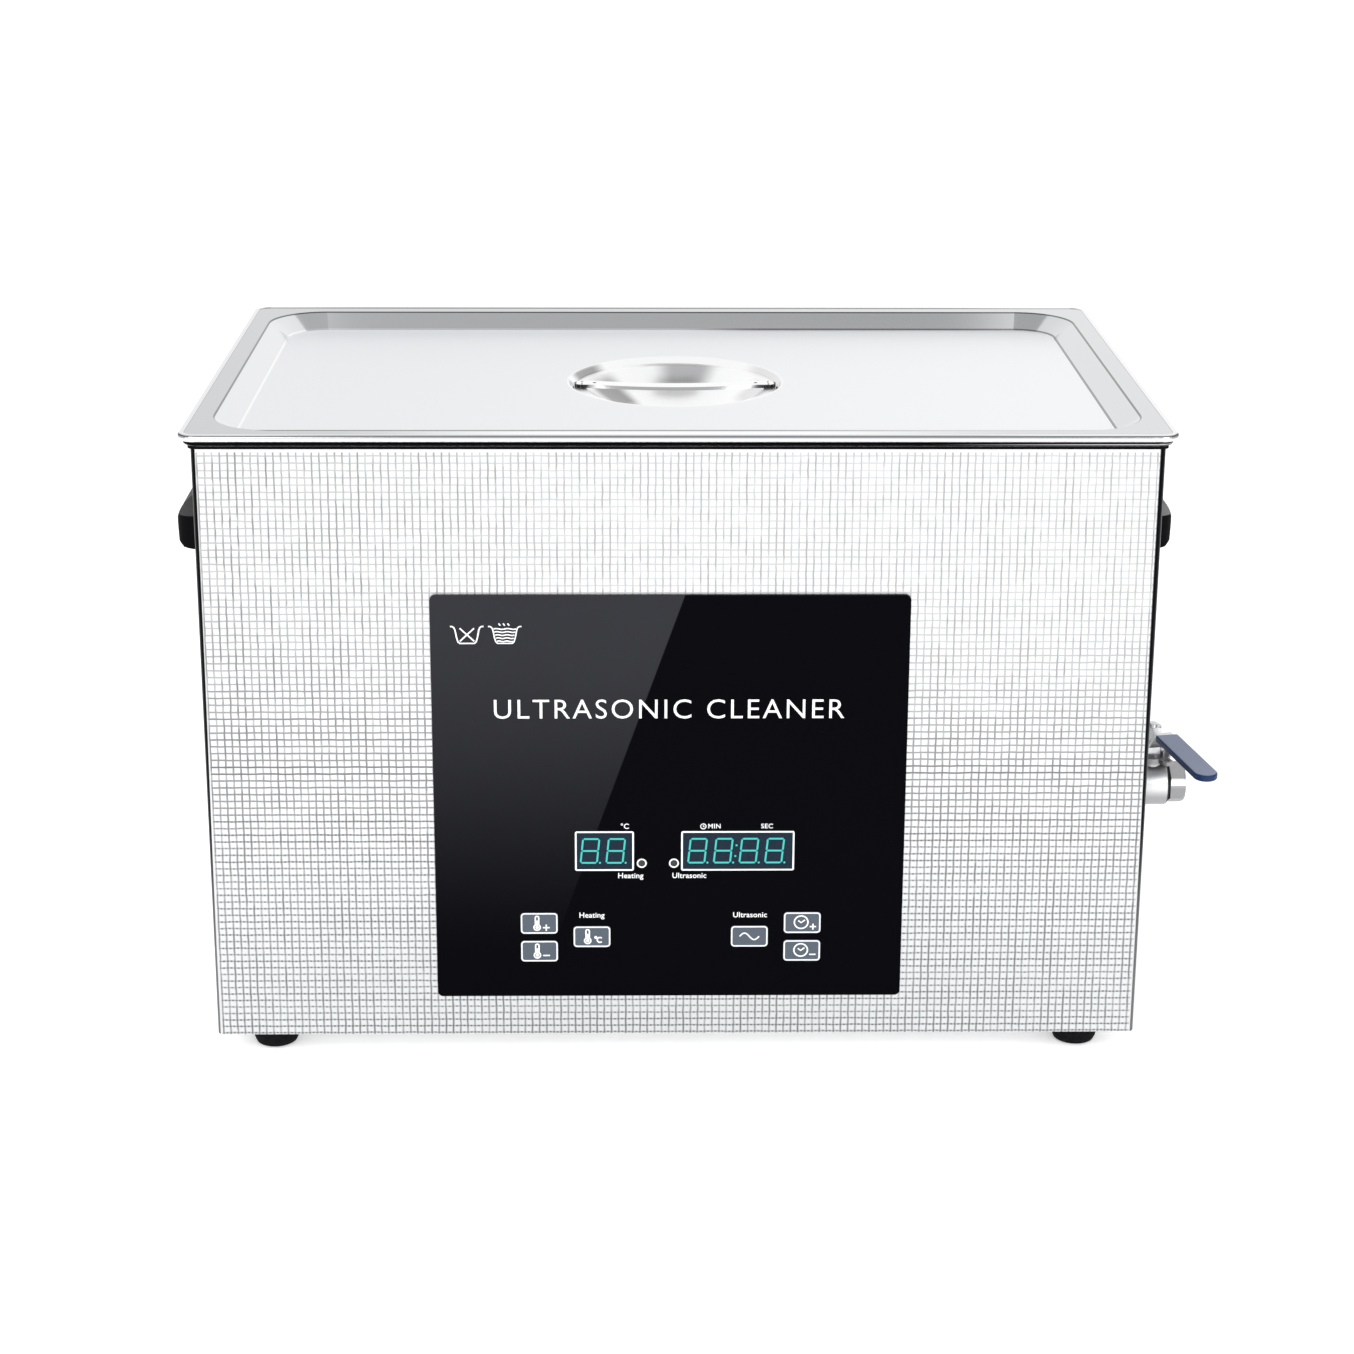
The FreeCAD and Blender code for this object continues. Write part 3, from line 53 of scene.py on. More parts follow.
panel_low, panel_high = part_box("control_overlay")
PANEL_X = (panel_low.x + panel_high.x) / 2
PANEL_Z = panel_low.z
PANEL_FACE = panel_low.y


# ---------------------------------------------------------------- material building
class Paint:
    """A node material: a Principled shader and short ways to add nodes to it.

    Amounts run from 0 to 1, and colours are given as red, green and blue.
    """

    def __init__(self, name, colour, metallic, roughness, **sockets):
        self.material = bpy.data.materials.new(name)
        self.material.use_nodes = True
        self.tree = self.material.node_tree
        self.shader = self.tree.nodes["Principled BSDF"]
        self.colour = colour
        self.set("Base Color", (*colour, 1.0))
        self.set("Metallic", metallic)
        self.set("Roughness", roughness)
        for socket, value in sockets.items():
            self.set(socket.replace("_", " "), value)
        self.place = self.tree.nodes.new("ShaderNodeTexCoord").outputs["Object"]

    def set(self, socket, value):
        self.shader.inputs[socket].default_value = value

    def drive(self, socket, value):
        self.tree.links.new(value, self.shader.inputs[socket])

    def add(self, kind, inputs=None, **settings):
        node = self.tree.nodes.new("ShaderNode" + kind)
        for setting, value in settings.items():
            setattr(node, setting, value)
        for key, value in (inputs or {}).items():
            if isinstance(value, bpy.types.NodeSocket):
                self.tree.links.new(value, node.inputs[key])
            else:
                node.inputs[key].default_value = value
        return node

    def at(self):
        """The place on the object, as X, Y and Z."""
        return self.add("SeparateXYZ", {"Vector": self.place}).outputs

    def facing(self):
        """The way the surface faces, as X, Y and Z."""
        normal = self.add("TexCoord").outputs["Normal"]
        return self.add("SeparateXYZ", {"Vector": normal}).outputs

    def math(self, operation, first, second=0.0, third=0.0):
        values = {0: first, 1: second, 2: third}
        return self.add("Math", values, operation=operation).outputs[0]

    def size(self, value):
        return self.math("ABSOLUTE", value)

    def times(self, first, second):
        return self.math("MULTIPLY", first, second)

    def length(self, across, deep):
        squares = self.math("ADD", self.times(across, across), self.times(deep, deep))
        return self.math("SQRT", squares)

    def ramp(self, value, low, high, to_low=0.0, to_high=1.0):
        """A clamped, smooth change from to_low at low to to_high at high."""
        values = {"Value": value, "From Min": low, "From Max": high,
                  "To Min": to_low, "To Max": to_high}
        return self.add("MapRange", values, interpolation_type="SMOOTHSTEP").outputs["Result"]

    def fade(self, value, low, high, top=1.0):
        """A clamped, smooth change from top at low to nothing at high."""
        return self.ramp(value, low, high, top, 0.0)

    def near(self, value, level, full, none, top=1.0):
        """The top amount up to the distance full from a level, and nothing past none."""
        return self.fade(self.size(self.math("SUBTRACT", value, level)), full, none, top)

    def noise(self, scale, stretch=(1, 1, 1), detail=3.0):
        spread = self.add("Mapping", {"Vector": self.place, "Scale": stretch}).outputs[0]
        values = {"Vector": spread, "Scale": scale, "Detail": detail}
        return self.add("TexNoise", values).outputs["Fac"]

    def mix(self, amount, first, second):
        """The first colour where the amount is 0, the second where it is 1."""
        node = self.add("Mix", data_type="RGBA")
        inputs = {socket.name: socket for socket in node.inputs if socket.enabled}
        self.tree.links.new(amount, inputs["Factor"])
        for key, colour in (("A", first), ("B", second)):
            if isinstance(colour, bpy.types.NodeSocket):
                self.tree.links.new(colour, inputs[key])
            else:
                inputs[key].default_value = (*colour, 1.0)
        return next(socket for socket in node.outputs if socket.enabled)

    def tint(self, amount, other):
        """Vary the colour towards another one."""
        colour = self.mix(amount, self.colour, other)
        self.drive("Base Color", colour)
        return colour

    def bump(self, height, depth, strength):
        values = {"Height": height, "Distance": depth, "Strength": strength}
        self.drive("Normal", self.add("Bump", values).outputs["Normal"])


WHITE = (0.99, 0.99, 0.99)
SHADOW = (0.004, 0.004, 0.005)


def shade(colour, factor):
    return tuple(channel * factor for channel in colour)


# ---------------------------------------------------------------- tank and lid
STEEL = (0.82, 0.828, 0.84)

LID_BEAD_STEP, LID_RECESS = 0.6 * MM, 9.0 * MM     # hem above the ring, ring above the panel
LID_RING = 13.1 * MM                # from the lid's outer edge to the ring's inner edge
# painted shade along the lid's bends
BEND_SHADE = (0.05, 0.05, 0.055)
DISH_EDGE = 63.0 * MM               # radius of the grip dish
SHADOW_DOT_X, SHADOW_DOT_RADIUS = 47 * MM, 1.1 * MM        # painted shadow dots near the strap's ends: their distance from its middle, and radius
STRAP_SHADE_STARTS, STRAP_SHADE_FULL = 38 * MM, 54 * MM       # where the painted shade on its edges starts, and where it is full
STRAP_END = 57.5 * MM               # half its length, past which its end faces are painted dark as shade
FRONT_REFLECTION_DEPTH = 11 * MM              # depth of the ring's front strip, painted white as a reflection
FRONT_SHADE_ENDS = 221 * MM                # half the length of the painted shade line along the ring's front bend

# painted reflections in the grip dish: turn and reach of each patch, how softly each ends, how
# strong it is, and its tone
DISH_REFLECTIONS = [
    ((64, 98), (41, 56), 8, 3, 0.85, 0.42),          # rear
    ((138, 172), (28, 50), 8, 5, 0.85, 0.24),        # left
    ((-32, -6), (46, 53), 7, 3, 0.70, 0.30),         # right, towards the front
    ((-6, 22), (38, 52), 8, 4, 0.45, 0.50),          # right
    ((138, 165), (57.5, 62), 6, 1, 0.80, 0.22),      # shoulder, left
    ((-18, 40), (58, 62), 8, 1, 0.40, 0.45),         # shoulder, right
]


def drawing_marks(paint, rough):
    """Faint long marks left in a polished sheet."""
    marks = paint.noise(55.0, (1, 22, 22), 4.0)
    paint.drive("Roughness", paint.ramp(marks, 0.3, 0.75, rough * 0.8, rough * 1.35))


def polished_steel(name, colour, rough):
    """Polished sheet: drawing marks and slow cloudiness."""
    paint = Paint(name, colour, 1.0, rough)
    paint.tint(paint.ramp(paint.noise(7.0), 0.35, 0.7, 0.0, 0.5), shade(colour, 0.94))
    drawing_marks(paint, rough)
    return paint.material


def dish_reflections(paint, across, deep, plain):
    """Painted reflections in the grip dish, white within its edge with patches of the room: (from,
    to) degrees round, (from, to) mm out.
    """
    radius = paint.length(across, deep)
    angle = paint.math("ARCTAN2", deep, across)

    def between(value, ends, soft, unit):
        low, high = ends
        return paint.times(paint.ramp(value, (low - soft) * unit, (low + soft) * unit),
                           paint.fade(value, (high - soft) * unit, (high + soft) * unit))

    # the dish is painted white as a reflection of the bright room
    colour = paint.mix(paint.fade(radius, DISH_EDGE - 0.5 * MM, DISH_EDGE + 0.5 * MM),
                       plain, WHITE)
    for turn, reach, soft_turn, soft_reach, amount, tone in DISH_REFLECTIONS:
        reflection_patch = paint.times(between(angle, turn, soft_turn, math.radians(1)),
                            between(radius, reach, soft_reach, MM))
        colour = paint.mix(paint.times(reflection_patch, amount), colour, (tone, tone, tone * 1.02))
    return colour


def lid_handle_steel():
    """Strap: bright on top, with painted shade along its edges and on its ends, and a painted
    shadow dot near each end.
    """
    rough = 0.10
    paint = Paint("lid_handle_steel", (0.97, 0.972, 0.975), 1.0, rough)
    drawing_marks(paint, rough)
    at = paint.at()
    along = paint.size(at["X"])
    # painted shade on the strap's edge faces, fuller towards its ends
    edge = paint.times(paint.ramp(along, STRAP_SHADE_STARTS, STRAP_SHADE_FULL, 0.55, 1.0),
                       paint.ramp(paint.size(paint.facing()["Y"]), 0.45, 0.75))
    # a painted shadow dot near each end, where the strap leaves the rim
    away = paint.length(paint.math("SUBTRACT", along, SHADOW_DOT_X), at["Y"])
    shadow_dot = paint.fade(away, SHADOW_DOT_RADIUS - 0.2 * MM, SHADOW_DOT_RADIUS + 0.2 * MM)
    # its end faces are painted dark as shade
    end = paint.ramp(along, STRAP_END - 0.3 * MM, STRAP_END + 0.3 * MM)
    dark = paint.math("MAXIMUM", paint.math("MAXIMUM", edge, shadow_dot), end)
    paint.drive("Base Color", paint.mix(dark, paint.colour, (0.02, 0.02, 0.022)))
    return paint.material


def lid_steel():
    """Pressed lid: satin sunken panel; painted light, shade and reflections on its faces, and
    painted shade along its bends.
    """
    paint = Paint("lid_steel", (0.86, 0.868, 0.88), 1.0, 0.12)
    low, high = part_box("lid")
    ring_z = high.z - LID_BEAD_STEP
    panel_z = ring_z - LID_RECESS
    at = paint.at()
    across, deep, up = at["X"], at["Y"], at["Z"]
    right = paint.ramp(across, low.x, high.x)
    upward = paint.facing()["Z"]
    flat = paint.ramp(upward, 0.97, 0.995)
    sloping = paint.fade(upward, 0.95, 0.99)

    # painted light and shade: the ring, panel and slopes each get their own tone, changing from
    # left to right
    ring_shading = paint.mix(right, (0.534, 0.54, 0.555), (0.676, 0.683, 0.695))
    # painted white reflection across the middle of the ring's front strip
    reflection_y = low.y + FRONT_REFLECTION_DEPTH
    front = paint.fade(deep, reflection_y - 3 * MM, reflection_y + 3 * MM)
    middle = paint.times(paint.ramp(across, -190 * MM, -60 * MM),
                         paint.fade(across, 60 * MM, 190 * MM))
    ring_shading = paint.mix(paint.times(front, middle), ring_shading, WHITE)
    panel_shading = paint.mix(right, (0.805, 0.813, 0.835), (0.902, 0.909, 0.926))
    panel_shading = dish_reflections(paint, across, deep, panel_shading)
    slope_shading = paint.mix(right, (0.81, 0.815, 0.83), (0.707, 0.714, 0.725))
    on_slope = paint.times(paint.ramp(up, panel_z + 0.3 * MM, panel_z + 1.0 * MM),
                           paint.fade(up, ring_z - 0.5 * MM, ring_z))
    on_ring = paint.times(flat, paint.near(up, ring_z, 0.2 * MM, 0.5 * MM))
    colour = paint.mix(on_slope, panel_shading, slope_shading)
    colour = paint.mix(on_ring, colour, ring_shading)

    # painted shade lines along the bends
    def bend_shade_line(under, level, tone, amount):
        line = paint.near(up, level, 0.25 * MM, 0.50 * MM, amount)
        return paint.mix(paint.times(line, sloping), under, tone)

    colour = bend_shade_line(colour, ring_z - 0.25 * MM, BEND_SHADE, 0.8)
    # the lower bend is a painted highlight on the left and painted shade on the right
    low_bend_highlight_and_shade = paint.mix(paint.ramp(across, 0.0, 60 * MM), WHITE, (0.08, 0.08, 0.085))
    colour = bend_shade_line(colour, panel_z + 0.45 * MM, low_bend_highlight_and_shade, 0.75)
    # painted shade line along the ring's front bend, fading to the right
    front_bend_shade = paint.near(deep, low.y + LID_RING, 0.8 * MM, 1.3 * MM)
    front_bend_shade = paint.times(front_bend_shade, paint.ramp(across, 20 * MM, 170 * MM, 1.0, 0.15))
    front_bend_shade = paint.times(front_bend_shade, paint.fade(paint.size(across), FRONT_SHADE_ENDS - 5 * MM,
                                                    FRONT_SHADE_ENDS + 5 * MM))
    paint.drive("Base Color", paint.mix(front_bend_shade, colour, BEND_SHADE))

    satin = paint.times(flat, paint.fade(up, panel_z + 0.5 * MM, panel_z + 1.0 * MM))
    in_dish = paint.fade(up, panel_z - 3.0 * MM, panel_z - 2.0 * MM, 0.22)
    paint.drive("Roughness",
                paint.math("MAXIMUM", paint.ramp(satin, 0.0, 1.0, 0.11, 0.30), in_dish))
    return paint.material


def tank_steel():
    """Pressed tank: polished, with painted shade on the outside of its rolled rim and a painted
    glint along it on the right.
    """
    rough = 0.13
    paint = Paint("tank_steel", STEEL, 1.0, rough)
    drawing_marks(paint, rough)
    rim_top, seal_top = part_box("tank")[1].z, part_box("rim_seal")[1].z
    at = paint.at()
    # painted shade on the outer face of the rolled rim, above the seal, with a painted glint on the
    # right
    outward = paint.fade(paint.size(paint.facing()["Z"]), 0.75, 0.92)
    above_seal = paint.ramp(at["Z"], seal_top - 0.4 * MM, seal_top)
    glint = paint.near(at["Z"], (rim_top + seal_top) / 2, 0.15 * MM, 0.45 * MM, 0.8)
    right = paint.ramp(at["X"], 130 * MM, 240 * MM)
    rim_shade_and_glint = paint.mix(paint.times(glint, right), SHADOW, (0.55, 0.52, 0.54))
    paint.drive("Base Color", paint.mix(paint.times(outward, above_seal), paint.colour, rim_shade_and_glint))
    return paint.material


# ---------------------------------------------------------------- casing
LINEN_PITCH, LINEN_LEVEL_PITCH = 4.04 * MM, 4.0 * MM
LINEN_BORDER, LINEN_TOP_BORDER = 3.5 * MM, 2.0 * MM
THREAD_HALF_WIDTH, DASH_GAP_HALF_WIDTH = 0.76 * MM, 0.8 * MM
THREAD_WANDER = 0.16 * MM
SHALLOW_BELOW_TOP = 40 * MM         # the threads are at their shallowest this far down


def linen_steel():
    """Stainless sheet embossed with a linen weave: raised cells between sunk threads, painted dark
    as shade.

    Low on the casing the threads are deeper, the level ones break into short dashes, and threads
    and sheet are painted darker as shade.
    The sheet is plain along its edges and its upright bends are painted as dark shade lines.
    """
    paint = Paint("linen_steel", (0.725, 0.73, 0.74), 1.0, 0.36)
    low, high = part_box("outer_casing")
    at = paint.at()
    up = at["Z"]
    around = paint.math("ADD", at["X"], at["Y"])
    lowness = paint.fade(up, low.z, high.z - SHALLOW_BELOW_TOP)
    wander = paint.ramp(paint.noise(95.0, (1, 1, 1.6), 2.0), 0.25, 0.75,
                        -THREAD_WANDER, THREAD_WANDER)

    def threads(along, pitch, half_width):
        distance = paint.math("PINGPONG", paint.math("ADD", along, wander), pitch / 2)
        return paint.fade(distance, half_width * 0.3, half_width)

    def own_depth(along, pitch, seed):
        """Some threads are a little shallower than others."""
        from_half = paint.math("ADD", along, pitch / 2)
        number = paint.math("FLOOR", paint.math("DIVIDE", from_half, pitch))
        random = paint.add("TexWhiteNoise", {"W": paint.math("ADD", number, seed)},
                           noise_dimensions="1D").outputs["Value"]
        return paint.ramp(random, 0.0, 1.0, 0.82, 1.0)

    upright = paint.times(threads(around, LINEN_PITCH, THREAD_HALF_WIDTH),
                          own_depth(around, LINEN_PITCH, 3.5))
    broken = paint.ramp(paint.noise(150.0, (1, 1, 0.6), 2.0), 0.3, 0.6, 0.60, 1.0)
    upright = paint.times(upright, broken)
    # lower down the threads are deeper and painted darker as shade
    upright = paint.times(upright, paint.ramp(lowness, 0.0, 0.5, 0.54, 0.74))
    level = paint.times(threads(up, LINEN_LEVEL_PITCH, THREAD_HALF_WIDTH),
                        own_depth(up, LINEN_LEVEL_PITCH, 71.5))
    dashes = paint.mix(paint.ramp(lowness, 0.3, 0.9), (1, 1, 1),
                       threads(around, LINEN_PITCH / 2, DASH_GAP_HALF_WIDTH))
    level = paint.times(level, paint.ramp(dashes, 0.0, 1.0, 0.55, 1.0))
    level = paint.times(level, paint.ramp(lowness, 0.0, 0.55, 0.33, 0.86))
    on_left = paint.fade(at["X"], low.x, 0.0, 0.35)
    fuller = paint.math("MULTIPLY_ADD", on_left, paint.fade(lowness, 0.0, 0.6), 1.0)
    weave = paint.times(paint.math("MAXIMUM", upright, level), fuller)

    def inside(part, edge):
        return paint.fade(paint.size(part), edge - LINEN_BORDER, edge - LINEN_BORDER * 0.7)

    on_side = paint.ramp(paint.size(at["X"]), high.x - 0.3 * MM, high.x - 0.1 * MM)
    field = paint.math("MAXIMUM", inside(at["X"], high.x),
                       paint.times(on_side, inside(at["Y"], high.y)))
    top_border = high.z - LINEN_TOP_BORDER
    below_top = paint.fade(up, top_border - 0.6 * MM, top_border + 0.6 * MM)
    weave = paint.times(weave, paint.times(field, below_top))

    cells = paint.ramp(paint.noise(75.0, detail=2.0), 0.35, 0.7)
    ground = paint.mix(cells, paint.colour, (0.69, 0.695, 0.70))
    # painted shade: the sheet greys towards the bottom
    ground = paint.mix(paint.ramp(lowness, 0.35, 1.0, 0.0, 0.5), ground, (0.555, 0.565, 0.572))
    # the sunk threads are painted dark as shade
    colour = paint.mix(weave, ground, (0.07, 0.07, 0.074))

    # painted shade along the upright bends, found from where the surface turns
    facing = paint.facing()
    turned = paint.math("SUBTRACT", paint.size(facing["X"]),
                        paint.ramp(lowness, 0.0, 1.0, 0.0, 0.30))
    turned = paint.math("ADD", turned, paint.ramp(at["X"], 0.0, 1 * MM, 0.0, 0.15))
    bend = paint.times(paint.ramp(turned, 0.16, 0.30),
                       paint.ramp(paint.size(facing["Y"]), 0.05, 0.2))
    bend = paint.times(bend, paint.ramp(lowness, 0.6, 1.0, 1.0, 0.80))
    paint.drive("Base Color", paint.mix(bend, colour, SHADOW))
    paint.drive("Roughness", paint.ramp(weave, 0.0, 1.0, 0.34, 0.6))
    paint.bump(paint.math("SUBTRACT", 1.0, weave), 0.10 * MM, 0.4)
    return paint.material


REFLECTION_FOOT, REFLECTION_SLOPE = -75 * MM, 0.352          # the painted reflection's slanted edge: its foot, and its lean
REFLECTION_FAINT, REFLECTION_FULL = 20 * MM, 235 * MM        # heights where the painted reflection starts and is full


def gloss_panel():
    """Gloss black panel with a lighter painted reflection on its left, ending in a slanted line."""
    paint = Paint("panel_gloss", (0.0018, 0.0018, 0.0030), 0.0, 0.09, Specular_IOR_Level=0.01)
    at = paint.at()
    height = paint.math("SUBTRACT", at["Z"], PANEL_Z)
    slant = paint.math("MULTIPLY_ADD", height, REFLECTION_SLOPE, PANEL_X + REFLECTION_FOOT)
    # painted reflection, left of the slanted line and fuller higher up
    field = paint.ramp(paint.math("SUBTRACT", slant, at["X"]), 0.0, 0.6 * MM)
    higher = paint.ramp(height, REFLECTION_FAINT, REFLECTION_FULL)
    cloud = paint.ramp(paint.noise(9.0), 0.2, 0.8, 0.9, 1.0)
    amount = paint.times(paint.times(field, higher), cloud)
    paint.drive("Base Color", paint.mix(amount, paint.colour, (0.028, 0.0285, 0.033)))
    return paint.material


def display_glass():
    """Dark navy window with a very faint dot mask."""
    paint = Paint("display_navy", (0.003, 0.010, 0.022), 0.0, 0.12, Specular_IOR_Level=0.15)
    mask = paint.noise(2600.0, detail=1.0)
    paint.tint(paint.ramp(mask, 0.45, 0.6), (0.006, 0.018, 0.034))
    return paint.material


# ---------------------------------------------------------------- valve and handles
CASTING_GRAIN = 1600.0              # noise scale of the blasted skin
# painted shade on the valve: below the cap's axis and on the body's neck
CASTING_SHADE = (0.16, 0.16, 0.165)
SEAM_DARK = (0.03, 0.03, 0.032)
SEAM_X = 301.4 * MM                 # where the valve's cap meets its body
HIGHLIGHT_UP, HIGHLIGHT_HALF = 3.7 * MM, 2.0 * MM            # the cap's painted highlight band, above the bore's axis
NECK_UP = 13.7 * MM                 # where the body turns into its neck, above the axis
CHEEK_SHARE = 0.53                  # how much of a handle's height its end cheeks take up; the dome above is painted lit


def cast_steel(name, colour, rough):
    """Fine blasted casting: a slightly pebbled satin skin."""
    paint = Paint(name, colour, 1.0, rough)
    pebble = paint.noise(CASTING_GRAIN, detail=2.0)
    paint.tint(paint.ramp(paint.noise(60.0), 0.35, 0.7), shade(colour, 0.92))
    paint.drive("Roughness", paint.ramp(pebble, 0.3, 0.7, rough * 0.9, rough * 1.1))
    paint.bump(pebble, 0.03 * MM, 0.35)
    return paint.material


def valve_axis():
    """Height of the valve's bore."""
    low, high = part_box("valve_end_cap")
    return (low.z + high.z) / 2


def cap_steel():
    """Valve's end cap: grey flats with one painted highlight band, painted shade below its axis,
    and a dark seam at its shoulder.
    """
    paint = Paint("cap_steel", (0.44, 0.44, 0.445), 1.0, 0.34)
    axis = valve_axis()
    at = paint.at()
    skin = paint.ramp(paint.noise(CASTING_GRAIN), 0.3, 0.75)
    ground = paint.mix(skin, paint.colour, (0.40, 0.40, 0.405))
    # painted shade below the bore's axis
    below = paint.fade(at["Z"], axis - 1 * MM, axis + 3 * MM, 0.5)
    ground = paint.mix(below, ground, CASTING_SHADE)
    # painted highlight band
    band = paint.near(at["Z"], axis + HIGHLIGHT_UP, HIGHLIGHT_HALF - 0.3 * MM, HIGHLIGHT_HALF + 0.3 * MM)
    colour = paint.mix(band, ground, (0.95, 0.95, 0.95))
    seam = paint.fade(at["X"], SEAM_X + 0.6 * MM, SEAM_X + 1.0 * MM)
    paint.drive("Base Color", paint.mix(seam, colour, SEAM_DARK))
    return paint.material


def body_steel():
    """Valve's body: satin casting, painted lighter round its middle as light, greyer below, and
    painted darker on the neck as shade.
    """
    paint = Paint("body_steel", (0.42, 0.42, 0.425), 1.0, 0.34)
    at = paint.at()
    above = paint.math("SUBTRACT", at["Z"], valve_axis())
    # painted light round the body's middle
    lit = paint.times(paint.ramp(above, -6 * MM, 3 * MM), paint.fade(above, 5 * MM, 13 * MM))
    lit = paint.times(lit, paint.ramp(at["X"], SEAM_X - 26 * MM, SEAM_X - 6 * MM))
    skin = paint.ramp(paint.noise(CASTING_GRAIN), 0.3, 0.75, 0.9, 1.0)
    colour = paint.mix(paint.times(lit, skin), paint.colour, (0.80, 0.80, 0.805))
    # painted shade on the neck
    neck = paint.ramp(above, NECK_UP - 0.5 * MM, NECK_UP + 0.5 * MM, 0.0, 0.6)
    colour = paint.mix(neck, colour, CASTING_SHADE)
    seam = paint.ramp(at["X"], SEAM_X - 1.7 * MM, SEAM_X - 1.3 * MM)
    seam = paint.times(seam, paint.fade(above, 13.5 * MM, 14.0 * MM))
    paint.drive("Base Color", paint.mix(seam, colour, SEAM_DARK))
    return paint.material


def dipped_vinyl():
    """Lever sleeve: deep navy vinyl, its top painted blue-grey as light."""
    grain = 700.0
    paint = Paint("dipped_vinyl", (0.006, 0.024, 0.090), 0.0, 0.36, Specular_IOR_Level=0.25)
    skin = paint.ramp(paint.noise(grain), 0.3, 0.75, 0.9, 1.0)
    # painted light on the upward-facing top
    top = paint.times(paint.ramp(paint.facing()["Z"], 0.75, 0.97), skin)
    paint.tint(top, (0.20, 0.235, 0.34))
    paint.bump(paint.noise(grain), 0.05 * MM, 0.5)
    return paint.material


def handle_plastic(side, lit_dome_tone):
    """Cup handle: near-black plastic, its dome painted grey as light over end cheeks left dark as
    shade.
    """
    grain = 1100.0
    paint = Paint("handle_plastic_" + side, (0.0028, 0.0028, 0.0034), 0.0, 0.5,
                  Specular_IOR_Level=0.03)
    low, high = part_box("handle_" + side)
    split = low.z + (high.z - low.z) * CHEEK_SHARE
    skin = paint.ramp(paint.noise(grain), 0.4, 0.75, 0.85, 1.0)
    # painted light on the dome above the cheeks
    lit_dome = paint.times(paint.ramp(paint.at()["Z"], split, split + 0.6 * MM), skin)
    paint.tint(lit_dome, (lit_dome_tone, lit_dome_tone, lit_dome_tone * 1.02))
    paint.bump(paint.noise(grain), 0.06 * MM, 0.6)
    return paint.material


# ---------------------------------------------------------------- general materials
def satin_steel(name, colour, rough, stretch):
    """Satin sheet: fine parallel grain that tints and roughens the surface."""
    paint = Paint(name, colour, 1.0, rough)
    grain = paint.noise(180.0, stretch, 5.0)
    paint.tint(paint.ramp(grain, 0.3, 0.72), shade(colour, 0.80))
    paint.drive("Roughness", paint.ramp(grain, 0.3, 0.7, rough * 0.8, rough * 1.25))
    paint.bump(grain, 0.05 * MM, 0.5)
    return paint.material


def moulded(name, colour, rough, grain, depth, sheen=1.6):
    """Moulded plastic: a fine leathery skin, with a painted sheen that makes its high spots a
    little lighter.
    """
    paint = Paint(name, colour, 0.0, rough)
    skin = paint.noise(grain)
    # painted sheen on the skin's high spots
    paint.tint(paint.ramp(skin, 0.4, 0.75), shade(colour, sheen))
    paint.drive("Roughness", paint.ramp(skin, 0.3, 0.7, rough * 0.85, min(1.0, rough * 1.15)))
    paint.bump(skin, depth * MM, 0.6)
    return paint.material


def matt_black(name, tone):
    """Rubber: matt black, a shade lighter in places."""
    paint = Paint(name, (tone, tone, tone * 1.15), 0.0, 0.7, Specular_IOR_Level=0.05)
    paint.tint(paint.ramp(paint.noise(400.0), 0.4, 0.75), (tone * 1.8, tone * 1.8, tone * 2.0))
    return paint.material


def fibre_board():
    """Green circuit board with slightly lighter tracks."""
    paint = Paint("board_green", (0.012, 0.11, 0.045), 0.0, 0.35)
    tracks = paint.noise(260.0, (1, 1, 4), 2.0)
    paint.tint(paint.ramp(tracks, 0.5, 0.56), (0.03, 0.20, 0.08))
    return paint.material


def glow(name, colour, strength):
    """Lit digit segments, with the faint grain of their diffuser."""
    paint = Paint(name, colour, 0.0, 0.4)
    grain = paint.ramp(paint.noise(1800.0), 0.3, 0.7, 0.85, 1.0)
    paint.drive("Emission Color", paint.mix(grain, shade(colour, 0.7), colour))
    paint.set("Emission Strength", strength)
    return paint.material


def ink(name, colour):
    """Screen-printed ink: nearly flat, with slightly uneven cover."""
    paint = Paint(name, colour, 0.0, 0.45)
    paint.tint(paint.ramp(paint.noise(1500.0), 0.4, 0.8), shade(colour, 0.86))
    return paint.material


